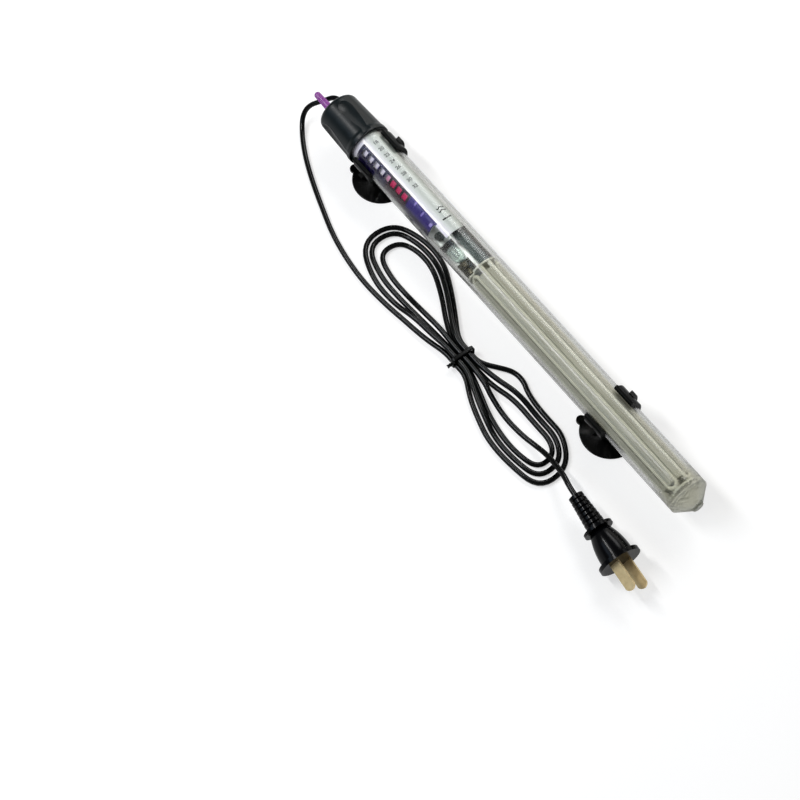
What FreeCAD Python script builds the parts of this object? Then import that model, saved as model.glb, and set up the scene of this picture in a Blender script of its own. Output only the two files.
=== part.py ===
import FreeCAD, Part
import math
import os

# Submersible aquarium heater, millimetres, +Z up. It lies on its two suction cups on the plane Z = 0,
# with the glass tube along X: cap and knob at the -X end, sealed glass tip at the +X end.
# The origin is midway along the heater, under the tube's axis.

# Glass tube
glass_length = 317.2
glass_radius = 12.5
glass_wall = 1.2
glass_end_wall = 2.0
shoulder_length = 7.5
shoulder_round = 1.4
nub_radius = 3.7
nub_round = 1.0

# Cap and stopper
cap_length = 32.6
cap_crown = 15.0
cap_top_radius = 13.3
cap_rim_radius = 14.1
cap_edge_round = 3.2
cap_lip_flare = 0.5
cap_lip_length = 2.2
grip_count = 4
grip_radius = 15.0
grip_depth = 1.1
grip_start = 4.6
grip_length = 20.0
stopper_flange = 3.0
stopper_length = 12.4

# Knob, spindle and the scale slide that it drives
knob_reach = 17.2
knob_offset_y = -2.8
knob_tip_radius = 2.1
knob_root_radius = 2.55
knob_groove_count = 8
knob_groove_radius = 0.45
shaft_radius = 2.2
seal_ring_section = 0.9
spindle_radius = 1.8
window_count = 8
window_place = 9.7
window_pitch = 5.5
window_size = 4.0
window_angle = -27.5
slide_windows = 3
slide_nut_width = 6.4
slide_nut_length = 9.0
slide_web = 1.4
slide_web_angle = -50.0

# Scale card, an arc of thin sheet inside the glass. Angles are from the direction that the chassis faces.
card_thickness = 0.4
card_first_angle = -85.0
card_last_angle = 53.0
card_length = 86.3
card_short_length = 74.7
card_step_angle = -16.0
card_flap_depth = 1.4
card_flap_end_angle = -41.5
card_flap_fold_angle = -13.5
card_flap_margin = 3.0

# Chassis and thermostat
chassis_turn = 21.5
chassis_width = 18.8
chassis_thickness = 1.4
chassis_top = -3.4
chassis_rib_height = 2.4
chassis_rib_width = 1.2
chassis_rib_place = 5.0
chassis_length = 112.6
bracket_thickness = 2.0
bracket_width = 6.4
bracket_gap = 8.4
base_length = 29.9
base_width = 8.4
base_inner_edge = 0.8
base_height = 6.6
base_side_wall = 1.8
base_end_wall = 2.3
base_wall_rise = 0.4
post_length = 4.0
contact_radius = 1.5
contact_thickness = 0.35
contact_gap = 0.1
bimetal_width = 6.0
bimetal_thickness = 0.7
magnet_radius = 2.7
magnet_height = 3.0
magnet_post_height = 4.9
magnet_gap = 3.0
magnet_offset = -5.6
lamp_bar_thickness = 3.6
lamp_bar_height = 6.8
lamp_radius = 3.9
lamp_length = 11.4
lamp_gap = 1.2
side_parts_width = 8.2
side_parts_edge = -1.2
block_length = 11.0
block_height = 7.4
block_screw_radius = 1.5
block_screw_height = 0.8
wire_radius = 0.8
wire_spacing = 1.9

# Heating core
disc_thickness = 1.2
disc_edge_gap = 1.1
disc_notch_count = 3
disc_notch_radius = 2.0
core_end_room = 5.3
core_radius = 9.8
core_bore_radius = 1.5
spigot_radius = 3.5
spigot_length = 4.2
flute_count = 10
flute_radius = 1.5
flute_circle_radius = 8.9
coil_radius = 1.15

# Cord gland on the cap
gland_offset_y = 5.6
gland_collar_radius = 3.2
gland_collar_height = 2.4
gland_body_radius = 2.5

# Holder clips and suction cups
clip_wall = 2.2
clip_length = 14.5
clip_mouth_turn = -24.0
clip_mouth_half_angle = 54.0
clip_lip_radius = 1.5
clip_rib_width = 3.5
clip_rib_height = 2.0
clip_boss_radius = 6.4
clip_boss_height = 3.0
upper_clip_place = 44.3
lower_clip_place = 260.8
cup_radius = 17.5
cup_height = 5.75
cup_rim_thickness = 0.9
cup_rim_width = 2.3
cup_hollow_depth = 2.4
cup_shoulder_radius = 5.2
cup_neck_radius = 2.4
cup_head_radius = 3.8
cup_head_height = 2.3
tab_width = 6.0
tab_reach = 3.0
tab_thickness = 1.4
tab_angle = 208.0

# Plug, along its own axis from the start of the strain relief
relief_length = 22.3
relief_first_ring_radius = 4.5
relief_first_ring_length = 2.2
relief_core_radius = 3.1
relief_core_growth = 0.6
relief_last_rib_radius = 6.0
relief_rib_count = 7
relief_rib_length = 1.7
collar_radius = 9.0
collar_thickness = 1.8
bell_neck_radius = 5.9
bell_end_radius = 9.7
bell_length = 19.4
plate_radius = 12.7
plate_thickness = 2.6
blade_length = 18.0
blade_width = 6.35
blade_thickness = 1.5
blade_spacing = 12.7
plug_x = 126.3
plug_y = -46.2
plug_heading = -6.6
plug_dip = 2.0
plug_roll = -44.0

# Cord: its hank is drawn from the tie, with "along" towards the plug and "across" towards the tube
cord_radius = 1.6
tie_x = 14.0
tie_y = -38.0
turn_count = 3
waist_step = 1.9
layer_step = 3.3
tie_thickness = 0.8
tie_width = 2.6
tie_corner = 2.0
tie_end_length = 3.2
hank_start_along = -46.0
hank_start_across = -11.8
hank_start_heading = 8.0
hank_end_along = 12.0
hank_end_across = -0.2
hank_end_heading = -4.0
hank_end_run = 3.2
hank_joint_run = 7.0
plug_loop_reach = 92.0
plug_loop_reach_step = 5.4
plug_loop_tip = -6.5
plug_loop_tip_step = 1.65
plug_loop_low_side = -21.0
plug_loop_high_side = 14.8
cap_loop_reach = 99.0
cap_loop_reach_step = 4.4
cap_loop_tip = 13.5
cap_loop_low_side = -9.0
cap_loop_low_side_step = 4.7
cap_loop_high_side = 32.0
loop_side_step = 3.9
loop_climb_step = 3.5

# Running and seating clearances
fit_gap = 0.05
running_gap = 0.1
free_gap = 0.3

# Places along X, worked out from the lengths
overall_length = knob_reach + cap_crown + stopper_flange + glass_length
cap_top_x = knob_reach - overall_length / 2
cap_rim_x = cap_top_x + cap_length
flange_x = cap_top_x + cap_crown
glass_start_x = flange_x + stopper_flange
glass_end_x = glass_start_x + glass_length
shoulder_x = glass_end_x - shoulder_length
stopper_end_x = glass_start_x + stopper_length
chassis_start_x = stopper_end_x
chassis_end_x = chassis_start_x + chassis_length
block_x = chassis_end_x - block_length
lamp_x = block_x - lamp_gap - lamp_length
lamp_bar_x = lamp_x - lamp_bar_thickness
magnet_x = lamp_bar_x - magnet_gap - magnet_radius
bracket_x = magnet_x - magnet_radius - bracket_gap - bracket_thickness
base_start_x = chassis_end_x - base_length
core_start_x = chassis_end_x + disc_thickness
fluted_start_x = core_start_x + spigot_length
core_end_x = shoulder_x - core_end_room - disc_thickness
fluted_end_x = core_end_x - spigot_length

# Radii and heights, worked out from the sizes
bore_radius = glass_radius - glass_wall
stopper_flange_radius = glass_radius - glass_wall / 2
clip_inner_radius = glass_radius + fit_gap
clip_outer_radius = clip_inner_radius + clip_wall
boss_face = clip_outer_radius + clip_boss_height
axis_height = boss_face + cup_height
card_outer_radius = bore_radius - free_gap
card_inner_radius = card_outer_radius - card_thickness
window_first_x = stopper_end_x + window_place
window_rest_first = window_count - slide_windows
slide_start_x = window_first_x + (window_rest_first - 0.5) * window_pitch
slide_length = slide_windows * window_pitch
spindle_start_x = stopper_end_x + free_gap
spindle_end_x = bracket_x + bracket_thickness
block_top = chassis_top + block_height
base_top = chassis_top + base_height

X_AXIS = FreeCAD.Vector(1, 0, 0)
Y_AXIS = FreeCAD.Vector(0, 1, 0)
Z_AXIS = FreeCAD.Vector(0, 0, 1)


def point(x, y, z):
    return FreeCAD.Vector(x, y, z)


def joined(shapes):
    result = shapes[0]
    for shape in shapes[1:]:
        result = result.fuse(shape)
    return result.removeSplitter()


def closed_wire(corners):
    return Part.makePolygon(corners + [corners[0]])


def closed_face(corners):
    return Part.Face(closed_wire(corners))


def turned_about_tube(shape, degrees):
    shape.rotate(point(0, 0, axis_height), X_AXIS, degrees)
    return shape


def rod(radius, start_x, end_x, y, z):
    # A round bar along X at a place given from the tube's axis.
    return Part.makeCylinder(radius, end_x - start_x, point(start_x, y, axis_height + z), X_AXIS)


def block(start_x, end_x, low_y, high_y, low_z, high_z):
    # A box between two places along X, with the other places given from the tube's axis.
    corner = point(start_x, low_y, axis_height + low_z)
    return Part.makeBox(end_x - start_x, high_y - low_y, high_z - low_z, corner)


def profile_wire(steps):
    # A step is a point to draw a straight line to, or a pair (middle, end) for an arc.
    edges = []
    place = steps[0]
    for step in steps[1:]:
        if isinstance(step, tuple):
            middle, end = step
            edges.append(Part.Arc(place, middle, end).toShape())
            place = end
        else:
            edges.append(Part.LineSegment(place, step).toShape())
            place = step
    if not place.isEqual(steps[0], 0.000001):
        edges.append(Part.LineSegment(place, steps[0]).toShape())
    return Part.Wire(edges)


def turned_on_tube_axis(steps):
    # Revolves a half outline, drawn as (x, 0, radius) from the tube's axis, about that axis.
    face = Part.Face(profile_wire(steps))
    face.translate(point(0, 0, axis_height))
    return face.revolve(point(0, 0, axis_height), X_AXIS, 360)


def radial(x, radius):
    return point(x, 0, radius)


def corner_arc(centre_x, centre_radius, radius, first_degrees, last_degrees):
    # The middle and end of a rounded corner in the half outline.
    places = []
    for degrees in ((first_degrees + last_degrees) / 2, last_degrees):
        angle = math.radians(degrees)
        x = centre_x + radius * math.cos(angle)
        places.append(radial(x, centre_radius + radius * math.sin(angle)))
    return tuple(places)


def arc_sheet(inner, outer, first_degrees, last_degrees, start_x, end_x):
    # A bent sheet round the tube's axis. Angles are from straight up, positive towards +Y.
    def at(radius, degrees):
        angle = math.radians(degrees)
        return point(start_x, radius * math.sin(angle), axis_height + radius * math.cos(angle))

    middle = (first_degrees + last_degrees) / 2
    edges = [
        Part.Arc(at(outer, first_degrees), at(outer, middle), at(outer, last_degrees)).toShape(),
        Part.LineSegment(at(outer, last_degrees), at(inner, last_degrees)).toShape(),
        Part.Arc(at(inner, last_degrees), at(inner, middle), at(inner, first_degrees)).toShape(),
        Part.LineSegment(at(inner, first_degrees), at(outer, first_degrees)).toShape(),
    ]
    return Part.Face(Part.Wire(edges)).extrude(point(end_x - start_x, 0, 0))


# Glass, cap and stopper

def make_glass_tube():
    r = glass_radius
    outer = [
        radial(glass_start_x, 0),
        radial(glass_start_x, r),
        radial(shoulder_x - shoulder_round, r),
        corner_arc(shoulder_x - shoulder_round, r - shoulder_round, shoulder_round, 90, 35),
        radial(glass_end_x - nub_round, nub_radius),
        corner_arc(glass_end_x - nub_round, nub_radius - nub_round, nub_round, 90, 0),
        radial(glass_end_x, 0),
    ]
    inner_end = shoulder_x - glass_end_wall
    inner = [
        radial(glass_start_x, 0),
        radial(glass_start_x, bore_radius),
        radial(inner_end - shoulder_round, bore_radius),
        corner_arc(inner_end - shoulder_round, bore_radius - shoulder_round, shoulder_round, 90, 20),
        radial(glass_end_x - glass_end_wall, 0),
    ]
    return turned_on_tube_axis(outer).cut(turned_on_tube_axis(inner))


def make_head_cap():
    lip_x = cap_rim_x - cap_lip_length
    round_centre = cap_top_x + cap_edge_round
    shell = turned_on_tube_axis([
        radial(cap_top_x, 0),
        radial(cap_top_x, cap_top_radius - cap_edge_round),
        corner_arc(round_centre, cap_top_radius - cap_edge_round, cap_edge_round, 180, 90),
        radial(lip_x - cap_lip_length, cap_rim_radius),
        radial(lip_x, cap_rim_radius + cap_lip_flare),
        radial(cap_rim_x, cap_rim_radius + cap_lip_flare),
        radial(cap_rim_x, 0),
    ])
    shell = shell.cut(rod(glass_radius + fit_gap, glass_start_x, cap_rim_x, 0, 0))
    shell = shell.cut(rod(stopper_flange_radius + fit_gap, flange_x, glass_start_x, 0, 0))
    shell = shell.cut(rod(shaft_radius + running_gap, cap_top_x, flange_x, knob_offset_y, 0))
    seal_seat_radius = shaft_radius + 2 * seal_ring_section + 2 * running_gap
    seal_seat_x = flange_x - 2 * seal_ring_section - running_gap
    shell = shell.cut(rod(seal_seat_radius, seal_seat_x, flange_x, knob_offset_y, 0))
    shell = shell.cut(rod(gland_body_radius + fit_gap, cap_top_x, flange_x, gland_offset_y, 0))
    for index in range(grip_count):
        shell = shell.cut(make_grip_cutter(index * 360 / grip_count))
    return shell


def make_grip_cutter(degrees):
    # A thumb recess: arched at its top and running out to nothing before the rim.
    start_x = cap_top_x + grip_start + math.sqrt(2 * grip_radius * grip_depth)
    slope = grip_depth + cap_rim_radius - cap_top_radius
    direction = point(grip_length, 0, slope)
    height = cap_top_radius + grip_radius - grip_depth
    start = point(start_x, 0, axis_height + height)
    cutter = Part.makeCylinder(grip_radius, grip_length, start, direction)
    cutter = cutter.fuse(Part.makeSphere(grip_radius, start))
    return turned_about_tube(cutter, degrees)


def make_seal_stopper():
    stopper = rod(stopper_flange_radius, flange_x, glass_start_x, 0, 0)
    stopper = joined([stopper, rod(bore_radius - fit_gap, glass_start_x, stopper_end_x, 0, 0)])
    stopper = stopper.cut(rod(shaft_radius + running_gap, flange_x, stopper_end_x, knob_offset_y, 0))
    for wire in make_supply_wire_list(fit_gap):
        stopper = stopper.cut(wire)
    return stopper


def make_stem_seal():
    ring_radius = shaft_radius + running_gap + seal_ring_section
    centre = point(flange_x - seal_ring_section - running_gap / 2, knob_offset_y, axis_height)
    return Part.makeTorus(ring_radius, seal_ring_section, centre, X_AXIS)


def make_cord_gland():
    collar_x = cap_top_x - gland_collar_height
    taper = 0.5
    body = rod(gland_body_radius, cap_top_x, flange_x, gland_offset_y, 0)
    collar = Part.makeCone(
        gland_collar_radius - taper,
        gland_collar_radius,
        gland_collar_height,
        point(collar_x, gland_offset_y, axis_height),
        X_AXIS,
    )
    return joined([collar, body])


# Knob, spindle and scale

def make_control_knob():
    root_x = cap_top_x - free_gap
    tip_x = cap_top_x - knob_reach
    dome = knob_tip_radius
    stem = turned_on_tube_axis([
        radial(tip_x, 0),
        corner_arc(tip_x + dome, 0, dome, 180, 90),
        radial(root_x, knob_root_radius),
        radial(root_x, shaft_radius),
        radial(spindle_start_x, shaft_radius),
        radial(spindle_start_x, 0),
    ])
    for index in range(knob_groove_count):
        angle = 2 * math.pi * index / knob_groove_count
        groove = Part.makeCylinder(
            knob_groove_radius,
            knob_reach,
            point(tip_x, knob_tip_radius * math.cos(angle), axis_height + knob_tip_radius * math.sin(angle)),
            point(knob_reach, (knob_root_radius - knob_tip_radius) * math.cos(angle),
                  (knob_root_radius - knob_tip_radius) * math.sin(angle)),
        )
        stem = stem.cut(groove.common(block(tip_x, root_x - free_gap, -knob_reach, knob_reach,
                                            -knob_reach, knob_reach)))
    stem.translate(point(0, knob_offset_y, 0))
    return stem


def make_adjusting_spindle():
    return rod(spindle_radius, spindle_start_x, spindle_end_x, knob_offset_y, 0)


def spindle_place():
    # The spindle's place across the chassis: sideways and outwards from the tube's axis.
    angle = math.radians(chassis_turn)
    return knob_offset_y * math.cos(angle), -knob_offset_y * math.sin(angle)


def make_indicator_slide():
    # A bent strip that shows through the windows, on an arm from the nut that the spindle drives.
    # The arm passes beside the card's inner flap.
    side, out = spindle_place()
    strip_outer = card_inner_radius - free_gap
    strip_inner = strip_outer - card_thickness
    end_x = slide_start_x + slide_length
    edge = math.degrees(slide_web / 2 / strip_inner)
    strip = arc_sheet(strip_inner, strip_outer, slide_web_angle - edge, window_angle + window_half_angle() + 1,
                      slide_start_x, end_x)
    nut_x = slide_start_x + (slide_length - slide_nut_length) / 2
    half = slide_nut_width / 2
    nut = block(nut_x, nut_x + slide_nut_length, side - half, side + half, out - half, out + half)
    angle = math.radians(slide_web_angle)
    head_radius = strip_inner + card_thickness / 2
    head = point(nut_x, head_radius * math.sin(angle), axis_height + head_radius * math.cos(angle))
    foot = point(nut_x, side, axis_height + out)
    across = X_AXIS.cross(head - foot).normalize() * (slide_web / 2)
    web = closed_face([foot - across, foot + across, head + across, head - across])
    slide = joined([nut, web.extrude(point(slide_nut_length, 0, 0)), strip])
    slide = slide.cut(rod(spindle_radius + running_gap, nut_x, nut_x + slide_nut_length, side, out))
    return turned_about_tube(slide, chassis_turn)


def window_half_angle():
    return math.degrees(window_size / 2 / card_outer_radius)


def make_scale_card():
    # A bent card with a row of windows, and a flap folded in behind them as the slide's background.
    start_x = stopper_end_x + free_gap
    long_end = start_x + card_length
    short_end = start_x + card_short_length
    card = arc_sheet(card_inner_radius, card_outer_radius, card_first_angle, card_last_angle, start_x, long_end)
    cut_away = arc_sheet(card_inner_radius - 1, card_outer_radius + 1, card_first_angle - 1, card_step_angle,
                         short_end, long_end + 1)
    card = card.cut(cut_away)
    half_angle = window_half_angle()
    for index in range(window_count):
        centre_x = window_first_x + index * window_pitch
        window = arc_sheet(card_inner_radius - 1, card_outer_radius + 1, window_angle - half_angle,
                           window_angle + half_angle, centre_x - window_size / 2, centre_x + window_size / 2)
        card = card.cut(window)
    flap_start = window_first_x - window_size / 2 - card_flap_margin
    flap_end = window_first_x + (window_count - 1) * window_pitch + window_size / 2 + card_flap_margin
    flap_outer = card_inner_radius - card_flap_depth
    fold = math.degrees(card_thickness / flap_outer)
    flap = arc_sheet(flap_outer - card_thickness, flap_outer, card_flap_end_angle, card_flap_fold_angle + fold,
                     flap_start, flap_end)
    wall = arc_sheet(flap_outer - card_thickness, card_inner_radius + card_thickness / 2, card_flap_fold_angle,
                     card_flap_fold_angle + fold, flap_start, flap_end)
    return turned_about_tube(joined([card, flap, wall]), chassis_turn)


# Chassis and thermostat, drawn facing straight up and turned to the chassis's angle

def make_chassis():
    half = chassis_width / 2
    bottom = chassis_top - chassis_thickness
    plate = block(chassis_start_x, chassis_end_x, -half, half, bottom, chassis_top)
    parts = [plate]
    for place in (-chassis_rib_place, chassis_rib_place):
        parts.append(block(chassis_start_x, chassis_end_x, place - chassis_rib_width / 2,
                           place + chassis_rib_width / 2, bottom - chassis_rib_height, bottom))
    post = Part.makeCylinder(magnet_radius - free_gap, magnet_post_height,
                             point(magnet_x, magnet_offset, axis_height + chassis_top))
    parts.append(post)
    return turned_about_tube(joined(parts), chassis_turn)


def make_spindle_bracket():
    side, out = spindle_place()
    half = bracket_width / 2
    upright = block(bracket_x, bracket_x + bracket_thickness, side - half, side + half, chassis_top, out)
    crown = rod(half, bracket_x, bracket_x + bracket_thickness, side, out)
    bracket = joined([upright, crown])
    bracket = bracket.cut(rod(spindle_radius + running_gap, bracket_x, bracket_x + bracket_thickness, side, out))
    return turned_about_tube(bracket, chassis_turn)


def make_thermostat_base():
    # A tray for the strip: a post at the fixed end, and walls beside it and at its free end.
    high_y = base_inner_edge + base_width
    wall_top = bimetal_bottom() + base_wall_rise
    body = block(base_start_x, chassis_end_x, base_inner_edge, high_y, chassis_top, base_top)
    post = block(chassis_end_x - post_length, chassis_end_x, base_inner_edge, high_y - base_side_wall,
                 base_top, bimetal_bottom())
    side_wall = block(base_start_x, chassis_end_x, high_y - base_side_wall, high_y, base_top, wall_top)
    end_wall = block(base_start_x, base_start_x + base_end_wall, base_inner_edge, high_y, base_top, wall_top)
    return turned_about_tube(joined([body, post, side_wall, end_wall]), chassis_turn)


def bimetal_bottom():
    return base_top + 2 * contact_thickness + contact_gap


def bimetal_centre():
    return base_inner_edge + base_width - base_side_wall - free_gap - bimetal_width / 2


def make_bimetal_strip():
    start_x = base_start_x + base_end_wall + free_gap
    centre = bimetal_centre()
    strip = block(start_x, chassis_end_x - free_gap, centre - bimetal_width / 2, centre + bimetal_width / 2,
                  bimetal_bottom(), bimetal_bottom() + bimetal_thickness)
    return turned_about_tube(strip, chassis_turn)


def make_contact_pair():
    x = base_start_x + base_end_wall + 2 * contact_radius
    pair = []
    for height in (base_top, bimetal_bottom() - contact_thickness):
        pair.append(Part.makeCylinder(contact_radius, contact_thickness,
                                      point(x, bimetal_centre(), axis_height + height)))
    return turned_about_tube(Part.makeCompound(pair), chassis_turn)


def make_switch_magnet():
    place = point(magnet_x, magnet_offset, axis_height + chassis_top + magnet_post_height)
    magnet = Part.makeCylinder(magnet_radius, magnet_height, place)
    return turned_about_tube(magnet, chassis_turn)


def make_lamp_bar():
    bar = block(lamp_bar_x, lamp_x, side_parts_edge - side_parts_width, side_parts_edge,
                chassis_top, chassis_top + lamp_bar_height)
    return turned_about_tube(bar, chassis_turn)


def make_pilot_lamp():
    centre_y = side_parts_edge - side_parts_width / 2
    centre_z = chassis_top + lamp_radius
    dome_x = lamp_x + lamp_length - lamp_radius
    bulb = rod(lamp_radius, lamp_x + 1.0, dome_x, centre_y, centre_z)
    base = rod(lamp_radius * 0.7, lamp_x, lamp_x + 1.0, centre_y, centre_z)
    dome = Part.makeSphere(lamp_radius, point(dome_x, centre_y, axis_height + centre_z))
    return turned_about_tube(joined([bulb, base, dome]), chassis_turn)


def make_terminal_block():
    body = block(block_x, chassis_end_x, side_parts_edge - side_parts_width,
                 side_parts_edge, chassis_top, block_top)
    groove_x = chassis_end_x - block_length / 2
    groove = block(groove_x - 0.5, groove_x + 0.5, side_parts_edge - side_parts_width, side_parts_edge,
                   block_top - 1.2, block_top)
    return turned_about_tube(body.cut(groove), chassis_turn)


def make_terminal_screws():
    screws = []
    for share in (0.25, 0.75):
        x = chassis_end_x - block_length * share
        centre = point(x, side_parts_edge - side_parts_width / 2, axis_height + block_top)
        screw = Part.makeCylinder(block_screw_radius, block_screw_height, centre)
        slot = Part.makeBox(0.5, 2 * block_screw_radius, 0.4,
                            centre + point(-0.25, -block_screw_radius, block_screw_height - 0.4))
        screws.append(screw.cut(slot))
    return turned_about_tube(Part.makeCompound(screws), chassis_turn)


def make_supply_wire_list(extra):
    # Two insulated wires from the gland to the thermostat, with extra added to the radius for their holes.
    angle = math.radians(chassis_turn)
    wires = []
    for place in (-wire_spacing / 2, wire_spacing / 2):
        wires.append(rod(wire_radius + extra, flange_x, base_start_x, gland_offset_y + place * math.cos(angle),
                         place * math.sin(angle)))
    return wires


# Heating core

def make_core_disc(start_x):
    end_x = start_x + disc_thickness
    disc_radius = bore_radius - disc_edge_gap
    disc = rod(disc_radius, start_x, end_x, 0, 0)
    for index in range(disc_notch_count):
        notch = rod(disc_notch_radius, start_x, end_x, 0, disc_radius)
        disc = disc.cut(turned_about_tube(notch, 360 * (index + 0.5) / disc_notch_count))
    return disc


def make_heater_core():
    core = rod(core_radius, fluted_start_x, fluted_end_x, 0, 0)
    for index in range(flute_count):
        angle = 2 * math.pi * (index + 0.5) / flute_count
        flute = rod(flute_radius, fluted_start_x, fluted_end_x, flute_circle_radius * math.sin(angle),
                    flute_circle_radius * math.cos(angle))
        core = core.cut(flute)
    spigots = [rod(spigot_radius, core_start_x, fluted_start_x, 0, 0),
               rod(spigot_radius, fluted_end_x, core_end_x, 0, 0)]
    core = joined([core] + spigots)
    return core.cut(rod(core_bore_radius, core_start_x, core_end_x, 0, 0))


def make_heater_coils():
    # One coiled wire, drawn as its outer form: it runs up and down the flutes and turns at their ends.
    def at(index, x):
        angle = 2 * math.pi * (index + 0.5) / flute_count
        return point(x, flute_circle_radius * math.sin(angle), axis_height + flute_circle_radius * math.cos(angle))

    bend = flute_circle_radius * math.sin(math.pi / flute_count)
    edges = [Part.LineSegment(at(0, core_start_x), at(0, fluted_end_x)).toShape()]
    for index in range(flute_count - 1):
        end_x, outward = (fluted_end_x, bend) if index % 2 == 0 else (fluted_start_x, -bend)
        other_x = fluted_start_x if index % 2 == 0 else fluted_end_x
        if index == flute_count - 2:
            other_x = core_start_x
        middle = (at(index, end_x) + at(index + 1, end_x)) * 0.5 + point(outward, 0, 0)
        edges.append(Part.Arc(at(index, end_x), middle, at(index + 1, end_x)).toShape())
        edges.append(Part.LineSegment(at(index + 1, end_x), at(index + 1, other_x)).toShape())
    return swept(edges, coil_radius)


# Holders

def clip_centre_x(place):
    return cap_top_x + place


def make_holder_clip(place):
    centre_x = clip_centre_x(place)
    start_x = centre_x - clip_length / 2
    end_x = centre_x + clip_length / 2
    first = clip_mouth_turn + clip_mouth_half_angle
    last = clip_mouth_turn - clip_mouth_half_angle + 360
    ring = arc_sheet(clip_inner_radius, clip_outer_radius, first, last, start_x, end_x)
    parts = [ring]
    middle_radius = (clip_inner_radius + clip_outer_radius) / 2
    for degrees in (first, last):
        angle = math.radians(degrees)
        outward = clip_inner_radius + clip_lip_radius + 0.15
        lip = rod(clip_lip_radius, start_x, end_x, outward * math.sin(angle), outward * math.cos(angle))
        parts.append(lip)
    rib_start = centre_x - clip_rib_width / 2
    rib_end = centre_x + clip_rib_width / 2
    parts.append(arc_sheet(middle_radius, clip_outer_radius + clip_rib_height, first + 32, last - 32,
                           rib_start, rib_end))
    boss_top = axis_height - middle_radius
    boss = Part.makeCylinder(clip_boss_radius, boss_top - axis_height + boss_face,
                             point(centre_x, 0, axis_height - boss_face))
    clip = joined(parts + [boss])
    clip = clip.cut(rod(clip_inner_radius, start_x, end_x, 0, 0))
    socket_floor = axis_height - boss_face + cup_floor_thickness()
    socket = Part.makeCylinder(cup_head_radius + free_gap, axis_height - socket_floor,
                               point(centre_x, 0, socket_floor))
    neck_hole = Part.makeCylinder(cup_neck_radius + running_gap, axis_height,
                                  point(centre_x, 0, 0))
    return clip.cut(socket).cut(neck_hole)


def cup_floor_thickness():
    # The boss's floor under the cup's head: what is left of the boss below the head and its play.
    return boss_face - glass_radius - 2 * free_gap - cup_head_height


def make_suction_cup(place):
    centre_x = clip_centre_x(place)
    shoulder_top = cup_height - free_gap
    head_bottom = axis_height - glass_radius - free_gap - cup_head_height
    head_top = head_bottom + cup_head_height
    slope_start = point(cup_radius - 0.6, 0, cup_rim_thickness)
    slope_end = point(cup_shoulder_radius, 0, shoulder_top - 1.0)
    slope_middle = point((cup_radius + cup_shoulder_radius) / 2, 0,
                         (cup_rim_thickness + shoulder_top - 1.0) / 2 - 0.35)
    hollow_edge = cup_radius - cup_rim_width
    outline = [
        point(0, 0, cup_hollow_depth),
        (point(hollow_edge * 0.6, 0, cup_hollow_depth * 0.62), point(hollow_edge, 0, 0)),
        point(cup_radius - 0.4, 0, 0),
        (point(cup_radius, 0, cup_rim_thickness / 2), slope_start),
        (slope_middle, slope_end),
        point(cup_shoulder_radius - 0.6, 0, shoulder_top),
        point(cup_neck_radius, 0, shoulder_top),
        point(cup_neck_radius, 0, head_bottom),
        point(cup_head_radius, 0, head_bottom),
        point(cup_head_radius - 0.5, 0, head_top),
        point(0, 0, head_top),
    ]
    cup = Part.Face(profile_wire(outline)).revolve(point(0, 0, 0), Z_AXIS, 360)
    tab_start = cup_radius - cup_rim_width / 2
    tab = Part.makeBox(tab_reach + cup_rim_width / 2 - tab_width / 2, tab_width, tab_thickness,
                       point(tab_start, -tab_width / 2, 0))
    tab_end = Part.makeCylinder(tab_width / 2, tab_thickness, point(cup_radius + tab_reach - tab_width / 2, 0, 0))
    tab = joined([tab, tab_end])
    tab.rotate(point(0, 0, 0), Z_AXIS, tab_angle)
    cup = joined([cup, tab])
    cup.translate(point(centre_x, 0, 0))
    return cup


# Plug, drawn along X from the start of its strain relief and then stood on the rim of its plate

def plug_start_height():
    dip = math.radians(plug_dip)
    plate_end = relief_length + collar_thickness + bell_length + plate_thickness
    return plate_radius * math.cos(dip) + plate_end * math.sin(dip)


def laid_plug(shape):
    shape.rotate(point(0, 0, 0), X_AXIS, plug_roll)
    shape.rotate(point(0, 0, 0), Y_AXIS, plug_dip)
    shape.rotate(point(0, 0, 0), Z_AXIS, plug_heading)
    shape.translate(point(plug_x, plug_y, plug_start_height()))
    return shape


def revolved_plug_part(steps):
    face = Part.Face(profile_wire(steps))
    return face.revolve(point(0, 0, 0), X_AXIS, 360)


def make_plug_strain_relief():
    steps = [
        radial(0, 0),
        radial(0, relief_first_ring_radius),
        radial(relief_first_ring_length, relief_first_ring_radius),
    ]
    rib_zone = relief_length - relief_first_ring_length
    pitch = rib_zone / relief_rib_count
    for index in range(relief_rib_count):
        share = (index + 1) / relief_rib_count
        rib_radius = relief_first_ring_radius + share * (relief_last_rib_radius - relief_first_ring_radius)
        end_x = relief_first_ring_length + (index + 1) * pitch
        core = relief_core_radius + share * relief_core_growth
        steps.append(radial(end_x - pitch, core))
        steps.append(radial(end_x - relief_rib_length, core))
        steps.append(radial(end_x - relief_rib_length, rib_radius))
        steps.append(radial(end_x, rib_radius))
    steps.append(radial(relief_length, 0))
    return laid_plug(revolved_plug_part(steps))


def make_plug_body():
    bell_x = relief_length + collar_thickness
    plate_x = bell_x + bell_length
    bell_middle = radial(bell_x + bell_length * 0.45, bell_neck_radius + (bell_end_radius - bell_neck_radius) * 0.76)
    body = revolved_plug_part([
        radial(relief_length, 0),
        radial(relief_length, collar_radius),
        radial(bell_x, collar_radius),
        radial(bell_x, bell_neck_radius),
        (bell_middle, radial(plate_x, bell_end_radius)),
        radial(plate_x, plate_radius),
        radial(plate_x + plate_thickness, plate_radius),
        radial(plate_x + plate_thickness, 0),
    ])
    return laid_plug(body)


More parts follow.
